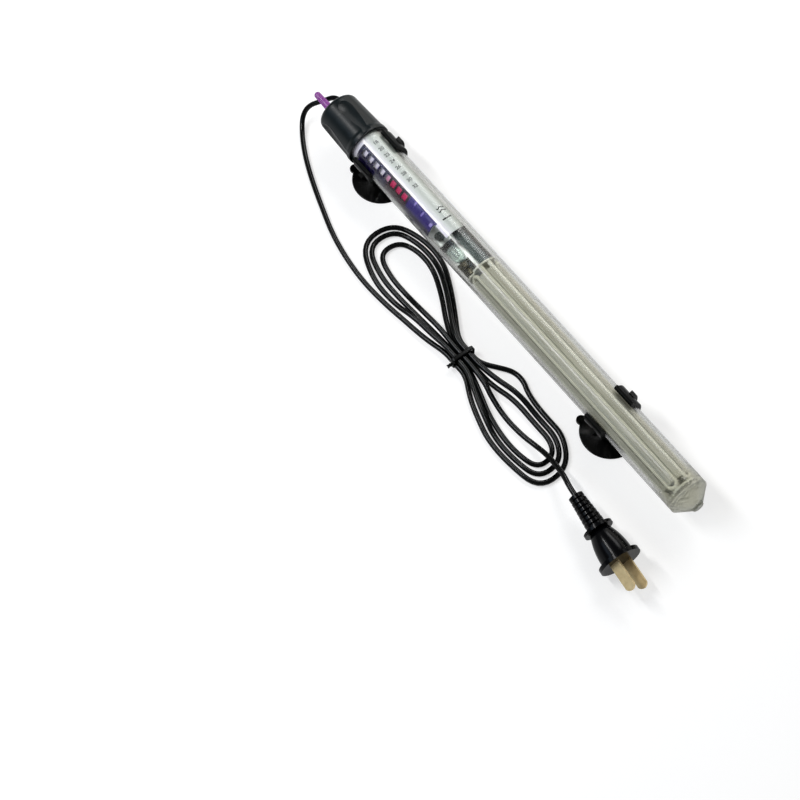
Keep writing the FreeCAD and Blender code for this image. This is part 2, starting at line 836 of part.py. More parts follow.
def make_plug_blades():
    root_x = relief_length + collar_thickness + bell_length + plate_thickness
    tip_x = root_x + blade_length
    half = blade_width / 2
    blades = []
    for side in (-blade_spacing / 2, blade_spacing / 2):
        y = side - blade_thickness / 2
        outline = profile_wire([
            point(root_x, y, -half),
            point(tip_x - half * 0.7, y, -half),
            (point(tip_x, y, 0), point(tip_x - half * 0.7, y, half)),
            point(root_x, y, half),
        ])
        blades.append(Part.Face(outline).extrude(point(0, blade_thickness, 0)))
    return laid_plug(Part.makeCompound(blades))


# Cord: free stretches with rounded corners, and the tied hank

cord_lead_route = [
    point(cap_top_x - gland_collar_height, gland_offset_y, axis_height),
    point(-164.7, 5.6, 23.5),
    point(-168.6, 3.9, 21.6),
    point(-171.2, 0.9, 18.8),
    point(-173.9, -2.8, 16.6),
    point(-176.8, -6.4, 13.8),
    point(-178.0, -10.0, 9.8),
    point(-176.7, -13.4, 5.4),
    point(-172.3, -17.0, 2.2),
    point(-164.5, -22.0, 1.6),
    point(-154.0, -27.6, 1.6),
    point(-138.5, -34.2, 1.6),
    point(-119.0, -41.0, 1.6),
    point(-100.0, -47.2, 1.6),
    point(-81.0, -50.8, 1.6),
    point(-62.0, -52.4, 1.6),
]

cord_tail_route = [
    point(44.0, -40.8, 4.0),
    point(59.0, -42.4, 1.6),
    point(74.0, -41.6, 1.6),
    point(84.0, -40.2, 3.2),
    point(93.0, -39.9, 6.2),
    point(102.1, -40.9, 9.4),
    point(111.6, -42.7, 12.8),
]


def arc_from_tangent(start, corner, end):
    # The arc that leaves start towards corner and reaches end coming from corner.
    middle = (start + end) * 0.5
    rise = corner - middle
    half_chord = (end - start).Length / 2
    if rise.Length < 0.0005:
        return Part.LineSegment(start, end).toShape()
    quarter_turn = math.atan2(rise.Length, half_chord) / 2
    top = middle + rise * (half_chord * math.tan(quarter_turn) / rise.Length)
    return Part.Arc(start, top, end).toShape()


def rounded_route(points):
    # Straight runs joined by tangent arcs, each as large as its two runs allow.
    edges = []
    radii = []
    place = points[0]
    for index in range(1, len(points) - 1):
        corner = points[index]
        back = points[index - 1] - corner
        ahead = points[index + 1] - corner
        trim = 0.45 * min(back.Length, ahead.Length)
        half_turn = (math.pi - back.getAngle(ahead)) / 2
        radii.append(trim / math.tan(half_turn))
        start = corner + back * (trim / back.Length)
        end = corner + ahead * (trim / ahead.Length)
        edges.append(Part.LineSegment(place, start).toShape())
        edges.append(arc_from_tangent(start, corner, end))
        place = end
    edges.append(Part.LineSegment(place, points[-1]).toShape())
    return edges, radii


def swept(edges, radius):
    # A round section carried along tangent lines and arcs.
    wire = Part.Wire(edges)
    first = edges[0]
    start = first.valueAt(first.FirstParameter)
    direction = first.tangentAt(first.FirstParameter)
    ring = Part.Wire(Part.makeCircle(radius, start, direction))
    return wire.makePipeShell([ring], True, False)


def biarc(start, start_way, end, end_way):
    # Two arcs, tangent to each other, from one place and heading to the next.
    reach = end - start
    ways = start_way + end_way
    turn = 1 - start_way.dot(end_way)
    along = reach.dot(ways)
    if turn < 0.000001:
        leg = reach.dot(reach) / (2 * along)
    else:
        leg = (-along + math.sqrt(along * along + 2 * turn * reach.dot(reach))) / (2 * turn)
    first_corner = start + start_way * leg
    last_corner = end - end_way * leg
    join = (first_corner + last_corner) * 0.5
    return [arc_from_tangent(start, first_corner, join), arc_from_tangent(join, last_corner, end)]


def heading(degrees):
    angle = math.radians(degrees)
    return point(math.cos(angle), math.sin(angle), 0)


def from_tie(along, across, height):
    return point(tie_x + along, tie_y + across, height)


def layer_height(layer):
    # Height of a strand's centre where the tie holds it: on the tie's band, or on the strands below.
    return tie_thickness + free_gap + cord_radius + layer * layer_step


def hank_stations():
    # Places that the hank passes, each with the way it is heading there. Every turn runs down to the
    # loop beside the plug, back through the tie, up to the loop beside the cap and back again.
    floor = cord_radius
    half_tie = tie_width / 2 + 2.2
    low_climb = (floor + layer_height(0)) / 2
    high_climb = layer_height(1) - 0.5
    climbs = [low_climb, high_climb]
    side = waist_step * turn_count
    stations = [
        (from_tie(hank_start_along, hank_start_across, floor), hank_start_heading),
        (from_tie(-28, -9.6, low_climb), 9),
        (from_tie(-half_tie, -side, layer_height(0)), 0),
        (from_tie(half_tie, -side, layer_height(0)), 0),
    ]
    for turn in range(turn_count):
        layer = turn % 2
        inward = loop_side_step * turn
        climb_inward = loop_climb_step * turn
        stations += [
            (from_tie(30, -15 + climb_inward, climbs[layer]), -19),
            (from_tie(58 + 1.5 * turn, plug_loop_low_side + inward, floor), 0),
            (from_tie(plug_loop_reach - plug_loop_reach_step * turn, plug_loop_tip + plug_loop_tip_step * turn,
                      floor), 90),
            (from_tie(65 + 1.5 * turn, plug_loop_high_side - inward, floor), 181),
        ]
        if turn == 0:
            stations += [
                (from_tie(44, 15.8, floor), 172),
                (from_tie(29, 18.9, floor), 184),
                (from_tie(13.5, 10, low_climb), 218),
            ]
        else:
            stations.append((from_tie(30, 11.4 - climb_inward, climbs[layer]), 196))
        across = side - waist_step * turn
        next_across = waist_step * (turn + 1) - side
        cap_reach = cap_loop_reach - cap_loop_reach_step * turn - 2 * turn * (turn - 1)
        stations += [
            (from_tie(half_tie, across, layer_height(layer)), 180),
            (from_tie(-half_tie, across, layer_height(layer)), 180),
            (from_tie(-32, 18.4 - climb_inward, climbs[layer]), 150),
            (from_tie(-69, cap_loop_high_side - inward, floor), 180),
            (from_tie(-cap_reach, cap_loop_tip - turn / 2, floor), 270),
            (from_tie(-62, cap_loop_low_side + cap_loop_low_side_step * turn, floor), 0),
            (from_tie(-29, -5.9 + 3.2 * turn, climbs[1 - layer]), 4),
            (from_tie(-half_tie, next_across, layer_height(1 - layer)), 0),
            (from_tie(half_tie, next_across, layer_height(1 - layer)), 0),
        ]
    stations.append((from_tie(hank_end_along, hank_end_across, layer_height(turn_count % 2)), hank_end_heading))
    return stations


def hank_end():
    way = heading(hank_end_heading)
    return from_tie(hank_end_along, hank_end_across, layer_height(turn_count % 2)) + way * hank_end_run


def hank_start():
    way = heading(hank_start_heading)
    return from_tie(hank_start_along, hank_start_across, cord_radius) - way * hank_end_run


def hank_edges():
    stations = hank_stations()
    edges = [Part.LineSegment(hank_start(), stations[0][0]).toShape()]
    for (start, start_degrees), (end, end_degrees) in zip(stations, stations[1:]):
        edges += biarc(start, heading(start_degrees), end, heading(end_degrees))
    edges.append(Part.LineSegment(stations[-1][0], hank_end()).toShape())
    return edges


def least_gap_to_itself(edges, radius, near):
    # Measured on points about 1 mm apart, leaving out those nearer than "near" along the tube.
    points = []
    travelled = 0.0
    for edge in edges:
        steps = max(1, round(edge.Length))
        span = edge.LastParameter - edge.FirstParameter
        for step in range(steps):
            place = edge.valueAt(edge.FirstParameter + span * step / steps)
            points.append((travelled + edge.Length * step / steps, place))
        travelled += edge.Length
    least = travelled
    for index, (first_run, first) in enumerate(points):
        for second_run, second in points[index + 1:]:
            if second_run - first_run > near:
                least = min(least, first.distanceToPoint(second))
    return least - 2 * radius


def make_cord_lead():
    before_hank = hank_start() - heading(hank_start_heading) * hank_joint_run
    edges, radii = rounded_route(cord_lead_route + [before_hank, hank_start()])
    print("cord_lead radii", [round(radius, 1) for radius in radii])
    return cord_tube("cord_lead", edges)


def make_cord_hank():
    edges = hank_edges()
    print("cord_hank least gap to itself", round(least_gap_to_itself(edges, cord_radius, 14), 2))
    arcs = [edge.Curve.Radius for edge in edges if hasattr(edge.Curve, "Radius")]
    print("cord_hank smallest radius", round(min(arcs), 1))
    return cord_tube("cord_hank", edges)


def make_cord_tail():
    plug_start = laid_plug(Part.Vertex(point(0, 0, 0))).Point
    before_plug = laid_plug(Part.Vertex(point(-6.7, 0, 0))).Point
    after_hank = hank_end() + heading(hank_end_heading) * hank_joint_run
    edges, radii = rounded_route([hank_end(), after_hank] + cord_tail_route + [before_plug, plug_start])
    print("cord_tail radii", [round(radius, 1) for radius in radii])
    return cord_tube("cord_tail", edges)


def cord_tube(name, edges):
    tube = swept(edges, cord_radius)
    length = sum(edge.Length for edge in edges)
    expected = math.pi * cord_radius ** 2 * length
    print(name, "length", round(length, 1), "volume share", round(tube.Volume / expected, 4))
    return tube


def rounded_box_wire(x, low_y, high_y, low_z, high_z, corner):
    # A rectangle with round corners, square to X.
    slack = corner * (1 - math.sqrt(0.5))
    return profile_wire([
        point(x, low_y + corner, low_z),
        point(x, high_y - corner, low_z),
        (point(x, high_y - slack, low_z + slack), point(x, high_y, low_z + corner)),
        point(x, high_y, high_z - corner),
        (point(x, high_y - slack, high_z - slack), point(x, high_y - corner, high_z)),
        point(x, low_y + corner, high_z),
        (point(x, low_y + slack, high_z - slack), point(x, low_y, high_z - corner)),
        point(x, low_y, low_z + corner),
        (point(x, low_y + slack, low_z + slack), point(x, low_y + corner, low_z)),
    ])


def make_twist_tie():
    # A band round the strands, and its two ends twisted together beside them.
    inner_half = waist_step * turn_count + cord_radius + free_gap
    outer_half = inner_half + tie_thickness
    top = layer_height(1) + cord_radius + free_gap
    start_x = tie_x - tie_width / 2
    outer = Part.Face(rounded_box_wire(start_x, tie_y - outer_half, tie_y + outer_half, 0,
                                       top + tie_thickness, tie_corner))
    inner = Part.Face(rounded_box_wire(start_x, tie_y - inner_half, tie_y + inner_half, tie_thickness,
                                       top, tie_corner - tie_thickness))
    band = outer.cut(inner).extrude(point(tie_width, 0, 0))
    sections = []
    section_count = 7
    for index in range(section_count):
        reach = tie_end_length * index / (section_count - 1)
        half = tie_width / 2 - 0.3
        section = closed_wire([
            point(-half, 0, -tie_thickness * 0.7),
            point(half, 0, -tie_thickness * 0.7),
            point(half, 0, tie_thickness * 0.7),
            point(-half, 0, tie_thickness * 0.7),
        ])
        section.rotate(point(0, 0, 0), Y_AXIS, 60 * index)
        section.translate(point(tie_x, tie_y - outer_half + tie_thickness / 2 - reach, top / 2))
        sections.append(section)
    ends = Part.makeLoft(sections, True, True)
    return joined([band, ends])


def write_step(name, shape):
    shape.exportStep(os.path.join("parts", name + ".step"))
    return shape


def main():
    os.makedirs("parts", exist_ok=True)
    nodes = {
        "glass_tube": make_glass_tube(),
        "head_cap": make_head_cap(),
        "seal_stopper": make_seal_stopper(),
        "stem_seal": make_stem_seal(),
        "cord_gland": make_cord_gland(),
        "control_knob": make_control_knob(),
        "adjusting_spindle": make_adjusting_spindle(),
        "indicator_slide": make_indicator_slide(),
        "scale_card": make_scale_card(),
        "chassis": make_chassis(),
        "spindle_bracket": make_spindle_bracket(),
        "thermostat_base": make_thermostat_base(),
        "bimetal_strip": make_bimetal_strip(),
        "contact_pair": make_contact_pair(),
        "switch_magnet": make_switch_magnet(),
        "lamp_bar": make_lamp_bar(),
        "pilot_lamp": make_pilot_lamp(),
        "terminal_block": make_terminal_block(),
        "terminal_screws": make_terminal_screws(),
        "supply_wires": Part.makeCompound(make_supply_wire_list(0)),
        "core_disc_upper": make_core_disc(chassis_end_x),
        "heater_core": make_heater_core(),
        "heater_coils": make_heater_coils(),
        "core_disc_lower": make_core_disc(core_end_x),
        "holder_clip_upper": make_holder_clip(upper_clip_place),
        "holder_clip_lower": make_holder_clip(lower_clip_place),
        "suction_cup_upper": make_suction_cup(upper_clip_place),
        "suction_cup_lower": make_suction_cup(lower_clip_place),
        "cord_lead": make_cord_lead(),
        "cord_hank": make_cord_hank(),
        "cord_tail": make_cord_tail(),
        "twist_tie": make_twist_tie(),
        "plug_strain_relief": make_plug_strain_relief(),
        "plug_body": make_plug_body(),
        "plug_blades": make_plug_blades(),
    }
    for name, shape in nodes.items():
        write_step(name, shape)
        print(name, "valid", shape.isValid(), "solids", len(shape.Solids), "volume", round(shape.Volume, 1))


main()
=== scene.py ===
import logging
import math
from dataclasses import dataclass, field
from enum import Enum

import bmesh
import bpy
from mathutils import Matrix, Vector


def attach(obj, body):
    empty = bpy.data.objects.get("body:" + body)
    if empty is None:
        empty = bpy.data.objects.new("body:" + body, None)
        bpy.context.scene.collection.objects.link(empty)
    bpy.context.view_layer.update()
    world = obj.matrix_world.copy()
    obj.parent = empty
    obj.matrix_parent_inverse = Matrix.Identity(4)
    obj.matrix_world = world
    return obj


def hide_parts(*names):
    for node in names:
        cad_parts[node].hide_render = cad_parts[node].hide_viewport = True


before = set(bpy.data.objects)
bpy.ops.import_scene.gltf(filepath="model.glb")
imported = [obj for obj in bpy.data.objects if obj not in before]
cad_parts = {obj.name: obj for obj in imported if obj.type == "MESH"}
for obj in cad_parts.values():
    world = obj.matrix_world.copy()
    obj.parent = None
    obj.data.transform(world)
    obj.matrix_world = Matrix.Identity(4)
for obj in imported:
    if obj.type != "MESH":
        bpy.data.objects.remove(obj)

"""A submersible aquarium heater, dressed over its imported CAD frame.

Lengths are in metres. +X runs from the cap to the glass tip, +Z is up, and the
suction cups rest on Z = 0. Fields that end in _mm are in millimetres.
"""

log = logging.getLogger("heater")
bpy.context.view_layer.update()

MM = 0.001
# The height of the tube's axis, and the degrees that the chassis is turned about it, from facing up towards -Y.
AXIS_HEIGHT = 0.0235
CHASSIS_TURN = 21.5
# A noise's stretch that draws it out into lines along X.
DRAWN = (0.02, 1, 1)
# The length at which a wave texture's bands repeat at a scale of 1.
WAVE_PERIOD = 0.314
# The cosine above which two directions count as one.
NEARLY_ALONG = 0.95

Pair = tuple[float, float]
Point = tuple[float, float, float]
Patch = tuple[float, float, float, float, float]
Mesh = bmesh.types.BMesh
Tree = bpy.types.NodeTree
Node = bpy.types.Node
Socket = bpy.types.NodeSocket


def linear(colour: str) -> tuple[float, float, float, float]:
    """Turns an sRGB hex colour into linear RGBA.

    Args:
        colour: Six hex digits after a hash sign.

    Returns:
        Red, green and blue as linear values, and an alpha of 1.
    """
    parts = []
    for start in (1, 3, 5):
        value = int(colour[start:start + 2], 16) / 255
        parts.append(value / 12.92 if value <= 0.04045 else ((value + 0.055) / 1.055) ** 2.4)
    return parts[0], parts[1], parts[2], 1.0


def add_node(tree: Tree, kind: str, values: dict | None = None) -> Node:
    """Adds a node with its settings and its links.

    Args:
        tree: The tree that gets the node.
        kind: The node's type name, without its first word, ShaderNode.
        values: Numbers, colours and the sockets to link, by the input's name or number. An attribute goes by its
            name, and "stops" holds a ramp's places and colours.

    Returns:
        The new node.
    """
    node = tree.nodes.new("ShaderNode" + kind)
    for name, value in (values or {}).items():
        if isinstance(value, Socket):
            tree.links.new(value, node.inputs[name])
        elif name == "stops":
            ramp = node.color_ramp.elements
            while len(ramp) < len(value):
                ramp.new(0.5)
            for stop, (place, colour) in zip(ramp, value):
                stop.position = place
                stop.color = linear(colour)
        elif isinstance(name, int) or name in node.inputs:
            node.inputs[name].default_value = value
        else:
            setattr(node, name, value)
    return node


def per_mm(size: float) -> float:
    """Gives the texture scale at which a pattern repeats every so many millimetres."""
    return 1 / (size * MM)


def placed(tree: Tree) -> Socket:
    """Gives a point's place on the piece at rest, in metres."""
    return add_node(tree, "TexCoord").outputs["Object"]


def combined(tree: Tree, operation: str, first: Socket | float, second: Socket | float) -> Socket:
    """Works out one value from two, each a socket or a number, by the operation that is named."""
    return add_node(tree, "Math", {"operation": operation, 0: first, 1: second}).outputs[0]


def ranged(tree: Tree, value: Socket, low: float, high: float, first: float = 0.0, last: float = 1.0) -> Socket:
    """Stretches a value's range, from low to high, over the one from first to last, and holds it beyond the ends."""
    return add_node(tree, "MapRange", {"Value": value, "From Min": low, "From Max": high, "To Min": first,
                                       "To Max": last}).outputs[0]


def speckle(tree: Tree, size_mm: float, detail: float = 3.0, stretch: Point = (1, 1, 1)) -> Socket:
    """Makes a noise whose blotches have a real size.

    Args:
        tree: The material's tree.
        size_mm: The size of a blotch.
        detail: How many finer layers the noise has.
        stretch: How much denser the noise is along each axis.

    Returns:
        The noise, from 0 to 1.
    """
    mapping = add_node(tree, "Mapping", {"Scale": stretch, "Vector": placed(tree)})
    noise = add_node(tree, "TexNoise", {"Scale": per_mm(size_mm), "Detail": detail, "Vector": mapping.outputs[0]})
    return noise.outputs["Fac"]


def between(tree: Tree, value: Socket, low: float, high: float, soft: float) -> Socket:
    """Marks with 1 where a value lies between two others, over edges that are soft by so much to each side."""
    return combined(tree, "MULTIPLY", ranged(tree, value, low - soft, low + soft),
                    ranged(tree, value, high - soft, high + soft, 1.0, 0.0))


def mixed(tree: Tree, share: Socket, first: Socket | str, second: Socket | str) -> Socket:
    """Mixes two colours, each a socket or a hex colour, by a share."""
    first, second = (linear(colour) if isinstance(colour, str) else colour for colour in (first, second))
    return add_node(tree, "Mix", {"data_type": "RGBA", 0: share, 6: first, 7: second}).outputs[2]


def bumped(tree: Tree, height: Socket, depth_mm: float) -> Socket:
    """Turns a height from 0 to 1 into a surface normal, where a height of 1 stands up by the depth."""
    return add_node(tree, "Bump", {"Distance": depth_mm * MM, "Height": height}).outputs["Normal"]


@dataclass(frozen=True)
class Finish:
    """A surface, as its base material and how it was made."""

    name: str
    colour: str = "#808080"
    roughness: float = 0.4
    ior: float = 1.5
    specular: float = 0.5
    spread: Pair = (1.0, 1.0)

    def surface(self, tree: Tree) -> Socket:
        """Builds the shader of the surface, each kind of finish in its own way."""
        raise NotImplementedError

    def inside(self, tree: Tree) -> Socket | None:
        """Builds the shader of what light passes through under the surface, which most finishes lack."""
        return None

    def settings(self) -> dict:
        """Gives the main shader's constants, which hold where no socket takes over."""
        return {"Base Color": linear(self.colour), "Roughness": self.roughness, "IOR": self.ior,
                "Specular IOR Level": self.specular}

    def principled(self, tree: Tree, sockets: dict) -> Socket:
        """Adds the main shader with its constants, and with sockets by the names of their inputs."""
        return add_node(tree, "BsdfPrincipled", self.settings() | sockets).outputs[0]

    def varied(self, tree: Tree, pattern: Socket) -> Socket:
        """Spreads the roughness over a pattern, between the spread's two multiples of itself."""
        return ranged(tree, pattern, 0.0, 1.0, *(self.roughness * share for share in self.spread))

    def material(self) -> bpy.types.Material:
        """Gives the finish's material, made the first time that it is asked for.

        Returns:
            The material.
        """
        known = bpy.data.materials.get(self.name)
        if known is not None:
            return known
        made = bpy.data.materials.new(self.name)
        made.use_nodes = True
        tree = made.node_tree
        tree.nodes.clear()
        parts = {"Surface": self.surface(tree)}
        inside = self.inside(tree)
        if inside is not None:
            parts["Volume"] = inside
        add_node(tree, "OutputMaterial", parts)
        return made


@dataclass(frozen=True)
class Polymer(Finish):
    """A plastic or rubber, with marks of another colour that change its gloss too, and a grain in its skin.

    The marks' share grows from nothing to its whole between two levels of their noise.
    """

    mark_mm: float = 7.0
    mark_detail: float = 2.0
    mark_levels: Pair = (0.0, 1.0)
    mark_colour: str = "#808080"
    mark_share: float = 0.25
    grain_mm: float = 0.5
    grain_detail: float = 3.0
    grain_depth_mm: float = 0.01

    def surface(self, tree: Tree) -> Socket:
        """Mixes the marks into the colour and roughness, and the grain into the normal.

        Args:
            tree: The material's tree.

        Returns:
            The shader.
        """
        marks = speckle(tree, self.mark_mm, self.mark_detail)
        share = ranged(tree, marks, *self.mark_levels, 0.0, self.mark_share)
        return self.principled(tree, {
            "Base Color": mixed(tree, share, self.colour, self.mark_colour),
            "Roughness": self.varied(tree, marks),
            "Normal": bumped(tree, speckle(tree, self.grain_mm, self.grain_detail), self.grain_depth_mm),
        })


@dataclass(frozen=True)
class MouldedPlastic(Polymer):
    """An injection moulded plastic: a skin as smooth as the tool's, with faint flow marks."""

    spread: Pair = (0.85, 1.15)


@dataclass(frozen=True)
class SoftRubber(Polymer):
    """A compression moulded rubber or soft PVC: deep black, glossy, with a little dust in random specks."""

    spread: Pair = (0.7, 1.5)
    mark_mm: float = 2.2
    mark_detail: float = 5.0
    mark_levels: Pair = (0.5, 0.8)
    mark_colour: str = "#4a4a48"
    mark_share: float = 0.12
    grain_mm: float = 0.8
    grain_detail: float = 2.0
    grain_depth_mm: float = 0.02


@dataclass(frozen=True)
class ExtrudedPvc(Polymer):
    """Extruded PVC of a mains cord: glossy black, with a faint waviness and a dusting of handling marks."""

    spread: Pair = (0.7, 1.4)
    mark_mm: float = 5.0
    mark_detail: float = 4.0
    mark_levels: Pair = (0.55, 0.85)
    mark_colour: str = "#121516"
    mark_share: float = 0.2
    grain_mm: float = 1.6
    grain_detail: float = 2.0
    grain_depth_mm: float = 0.02


@dataclass(frozen=True)
class DrawnGlass(Finish):
    """Drawn or blown glass: clear where it is thin to the eye, grey at its edges, and clear to shadows.

    The real draw lines are finer than a pixel, so they show as faint streaks of the gloss alone. Past worked_from_x
    the glass is flame worked, which leaves it rippled and hazy.
    """

    clearness: float = 1.0
    gloss_tint: str = "#8e8e8e"
    shadow_colour: str = "#fafaf9"
    depth_colour: str = "#bec0b9"
    depth_density: float = 120.0
    streak_mm: float = 0.9
    streak_roughness: float = 0.03
    streak_levels: Pair = (0.45, 0.8)
    worked_from_x: float = 1.0
    worked_length: float = 0.014
    worked_colour: str = "#fdfcf2"
    worked_roughness: float = 0.36
    ripple_mm: float = 3.5
    ripple_depth_mm: float = 0.8

    def settings(self) -> dict:
        """Gives the main shader's constants."""
        return super().settings() | {"Transmission Weight": self.clearness, "Specular Tint": linear(self.gloss_tint)}

    def surface(self, tree: Tree) -> Socket:
        """Mixes glass for what the eye sees with clear air for shadows and bounced light.

        Args:
            tree: The material's tree.

        Returns:
            The shader.
        """
        streaks = speckle(tree, self.streak_mm, 2.0, DRAWN)
        drawn = ranged(tree, streaks, *self.streak_levels, self.roughness, self.roughness + self.streak_roughness)
        along = add_node(tree, "SeparateXYZ", {0: placed(tree)}).outputs[0]
        worked = ranged(tree, along, self.worked_from_x, self.worked_from_x + self.worked_length)
        rough = add_node(tree, "Mix", {0: worked, 2: drawn, 3: self.worked_roughness}).outputs[0]
        ripple = combined(tree, "MULTIPLY", speckle(tree, self.ripple_mm, detail=2.0), worked)
        glass = self.principled(tree, {
            "Base Color": mixed(tree, worked, self.colour, self.worked_colour),
            "Roughness": rough,
            "Normal": bumped(tree, ripple, self.ripple_depth_mm),
        })
        clear = add_node(tree, "BsdfTransparent", {"Color": linear(self.shadow_colour)}).outputs[0]
        path = add_node(tree, "LightPath").outputs
        passing = combined(tree, "MAXIMUM", path["Is Shadow Ray"], path["Is Diffuse Ray"])
        return add_node(tree, "MixShader", {0: passing, 1: glass, 2: clear}).outputs[0]

    def inside(self, tree: Tree) -> Socket | None:
        """Darkens the glass where the eye looks along its wall."""
        return add_node(tree, "VolumeAbsorption", {"Color": linear(self.depth_colour),
                                                   "Density": self.depth_density}).outputs[0]


@dataclass(frozen=True)
class PrintedFilm(Finish):
    """A white film with painted light, screen printed with a violet band round the scale's windows.

    Angles are degrees from the direction that the chassis faces, positive towards +Y. A patch is its first and last
    place along the tube, its first and last angle, and how soft its edges along the tube are, in degrees. The band's
    lower part is lighter, with two lilac bars and a spot. The flap behind the windows is nearer to the tube's axis
    and lilac.
    """

    # The paper's ramp runs by angle round the tube: a lilac-white painted highlight where the glass's highlight line
    # falls, greying into painted shade towards the card's edge.
    paper: tuple[tuple[float, str], ...] = ((0.0, "#f0ecfb"), (0.2, "#ecedf3"), (0.27, "#e4e9ea"), (0.34, "#d8dedd"),
                                            (0.46, "#c6cdcb"), (0.66, "#c8cecb"), (0.8, "#a9b0ab"), (0.9, "#8f9590"))
    painted_light_angles: Pair = (-10.0, 60.0)
    band: Patch = (-0.1233, -0.0524, -90.0, -8.5, 0.6)
    band_colour: str = "#0f0730"
    warm_x: Pair = (-0.0960, -0.0765)
    warm_colour: str = "#1c0214"
    light: Patch = (-0.0765, -0.0524, -46.0, 0.0, 5.0)
    light_colour: str = "#2c1c6e"
    bars: tuple[tuple[Patch, str], ...] = (((-0.0722, -0.0710, -22.0, -8.0, 2.0), "#8573c4"),
                                           ((-0.0645, -0.0632, -30.0, -15.0, 2.0), "#8573c4"),
                                           ((-0.0563, -0.0542, -31.0, -20.0, 2.0), "#a99ade"))
    flap_radius: float = 0.0097
    flap_colour: str = "#f2ebff"
    flap_warm_x: float = -0.0985
    flap_warm_colour: str = "#ea9cc4"
    blur: float = 0.001
    edge: float = 0.00015
    grain_mm: float = 0.8
    grain_depth_mm: float = 0.0005

    def surface(self, tree: Tree) -> Socket:
        """Prints the film by place along the tube, angle and distance from the tube's axis.

        Args:
            tree: The material's tree.

        Returns:
            The shader.
        """
        along, across, up = add_node(tree, "SeparateXYZ", {0: placed(tree)}).outputs
        height = combined(tree, "SUBTRACT", up, AXIS_HEIGHT)
        turn = combined(tree, "ARCTAN2", across, height)
        degrees = add_node(tree, "Math", {"operation": "MULTIPLY_ADD", 0: turn, 1: math.degrees(1),
                                          2: CHASSIS_TURN}).outputs[0]
        flat = add_node(tree, "CombineXYZ", {1: across, 2: height}).outputs[0]
        radius = add_node(tree, "VectorMath", {"operation": "LENGTH", 0: flat}).outputs["Value"]
        # Painted light: the paper's colour follows the angle round the tube, a painted highlight near the facing side
        # and painted shade towards the edge.
        share = ranged(tree, degrees, *self.painted_light_angles)
        paper = add_node(tree, "ValToRGB", {"stops": self.paper, 0: share}).outputs[0]
        ink = mixed(tree, between(tree, along, *self.warm_x, self.blur), self.band_colour, self.warm_colour)
        ink = mixed(tree, self.patch(tree, along, degrees, self.light), ink, self.light_colour)
        for bar, colour in self.bars:
            ink = mixed(tree, self.patch(tree, along, degrees, bar), ink, colour)
        face = mixed(tree, self.patch(tree, along, degrees, self.band), paper, ink)
        warmth = ranged(tree, along, self.flap_warm_x - self.blur, self.flap_warm_x + self.blur)
        flap = mixed(tree, warmth, self.flap_colour, self.flap_warm_colour)
        near = combined(tree, "LESS_THAN", radius, self.flap_radius)
        return self.principled(tree, {"Base Color": mixed(tree, near, face, flap),
                                      "Normal": bumped(tree, speckle(tree, self.grain_mm), self.grain_depth_mm)})

    def patch(self, tree: Tree, along: Socket, degrees: Socket, patch: Patch) -> Socket:
        """Marks a patch of the film with 1, by the place along the tube and the angle."""
        return combined(tree, "MULTIPLY", between(tree, along, *patch[:2], self.edge),
                        between(tree, degrees, *patch[2:]))


@dataclass(frozen=True)
class FiredSteatite(Finish):
    """Extruded and fired steatite: matt, cream-grey, with fine drag lines along its length."""

    dark: str = "#8d8c78"
    line_mm: float = 0.7
    line_depth_mm: float = 0.05
    line_levels: Pair = (0.4, 0.66)
    cloud_mm: float = 9.0
    cloud_stretch: Point = (0.2, 1, 1)

    def surface(self, tree: Tree) -> Socket:
        """Draws the drag lines along X and clouds the colour.

        Args:
            tree: The material's tree.

        Returns:
            The shader.
        """
        lines = speckle(tree, self.line_mm, stretch=DRAWN)
        cloud = speckle(tree, self.cloud_mm, stretch=self.cloud_stretch)
        share = combined(tree, "MULTIPLY", ranged(tree, lines, *self.line_levels), cloud)
        return self.principled(tree, {"Base Color": mixed(tree, share, self.colour, self.dark),
                                      "Normal": bumped(tree, lines, self.line_depth_mm)})


@dataclass(frozen=True)
class WoundWire(Finish):
    """Resistance wire wound close into a coil. The pitch is drawn coarser than the real 0.5 mm, or it wouldn't show."""

    dark: str = "#4c493c"
    pitch_mm: float = 0.9
    turn_depth_mm: float = 0.05

    def surface(self, tree: Tree) -> Socket:
        """Raises each turn of the wire, square to X, and darkens the hollows between turns with painted shade.

        Args:
            tree: The material's tree.

        Returns:
            The shader.
        """
        turns = add_node(tree, "TexWave", {"bands_direction": "X", "Distortion": 0.4, "Detail": 0.0,
                                           "Scale": per_mm(self.pitch_mm) * WAVE_PERIOD,
                                           "Vector": placed(tree)}).outputs["Fac"]
        # The dark colour falls in the hollows between turns: painted shade.
        return self.principled(tree, {"Base Color": mixed(tree, turns, self.dark, self.colour),
                                      "Normal": bumped(tree, turns, self.turn_depth_mm)})


@dataclass(frozen=True)
class WorkedMetal(Finish):
    """A bare metal, brushed or rolled along X, or turned, with fine lines and slight tarnish."""

    spread: Pair = (0.8, 1.3)
    tarnish: str = "#6a6a68"
    tarnish_share: float = 0.3
    blotch_mm: float = 4.0
    line_mm: float = 0.3
    line_depth_mm: float = 0.01
    line_stretch: Point = (0.05, 1, 1)

    def settings(self) -> dict:
        """Gives the main shader's one constant."""
        return {"Metallic": 1.0}

    def surface(self, tree: Tree) -> Socket:
        """Tarnishes the metal in blotches and scores it along X.

        Args:
            tree: The material's tree.

        Returns:
            The shader.
        """
        share = combined(tree, "MULTIPLY", speckle(tree, self.blotch_mm, detail=4.0), self.tarnish_share)
        lines = speckle(tree, self.line_mm, 2.0, self.line_stretch)
        return self.principled(tree, {
            "Base Color": mixed(tree, share, self.colour, self.tarnish),
            "Roughness": self.varied(tree, lines),
            "Normal": bumped(tree, lines, self.line_depth_mm),
        })


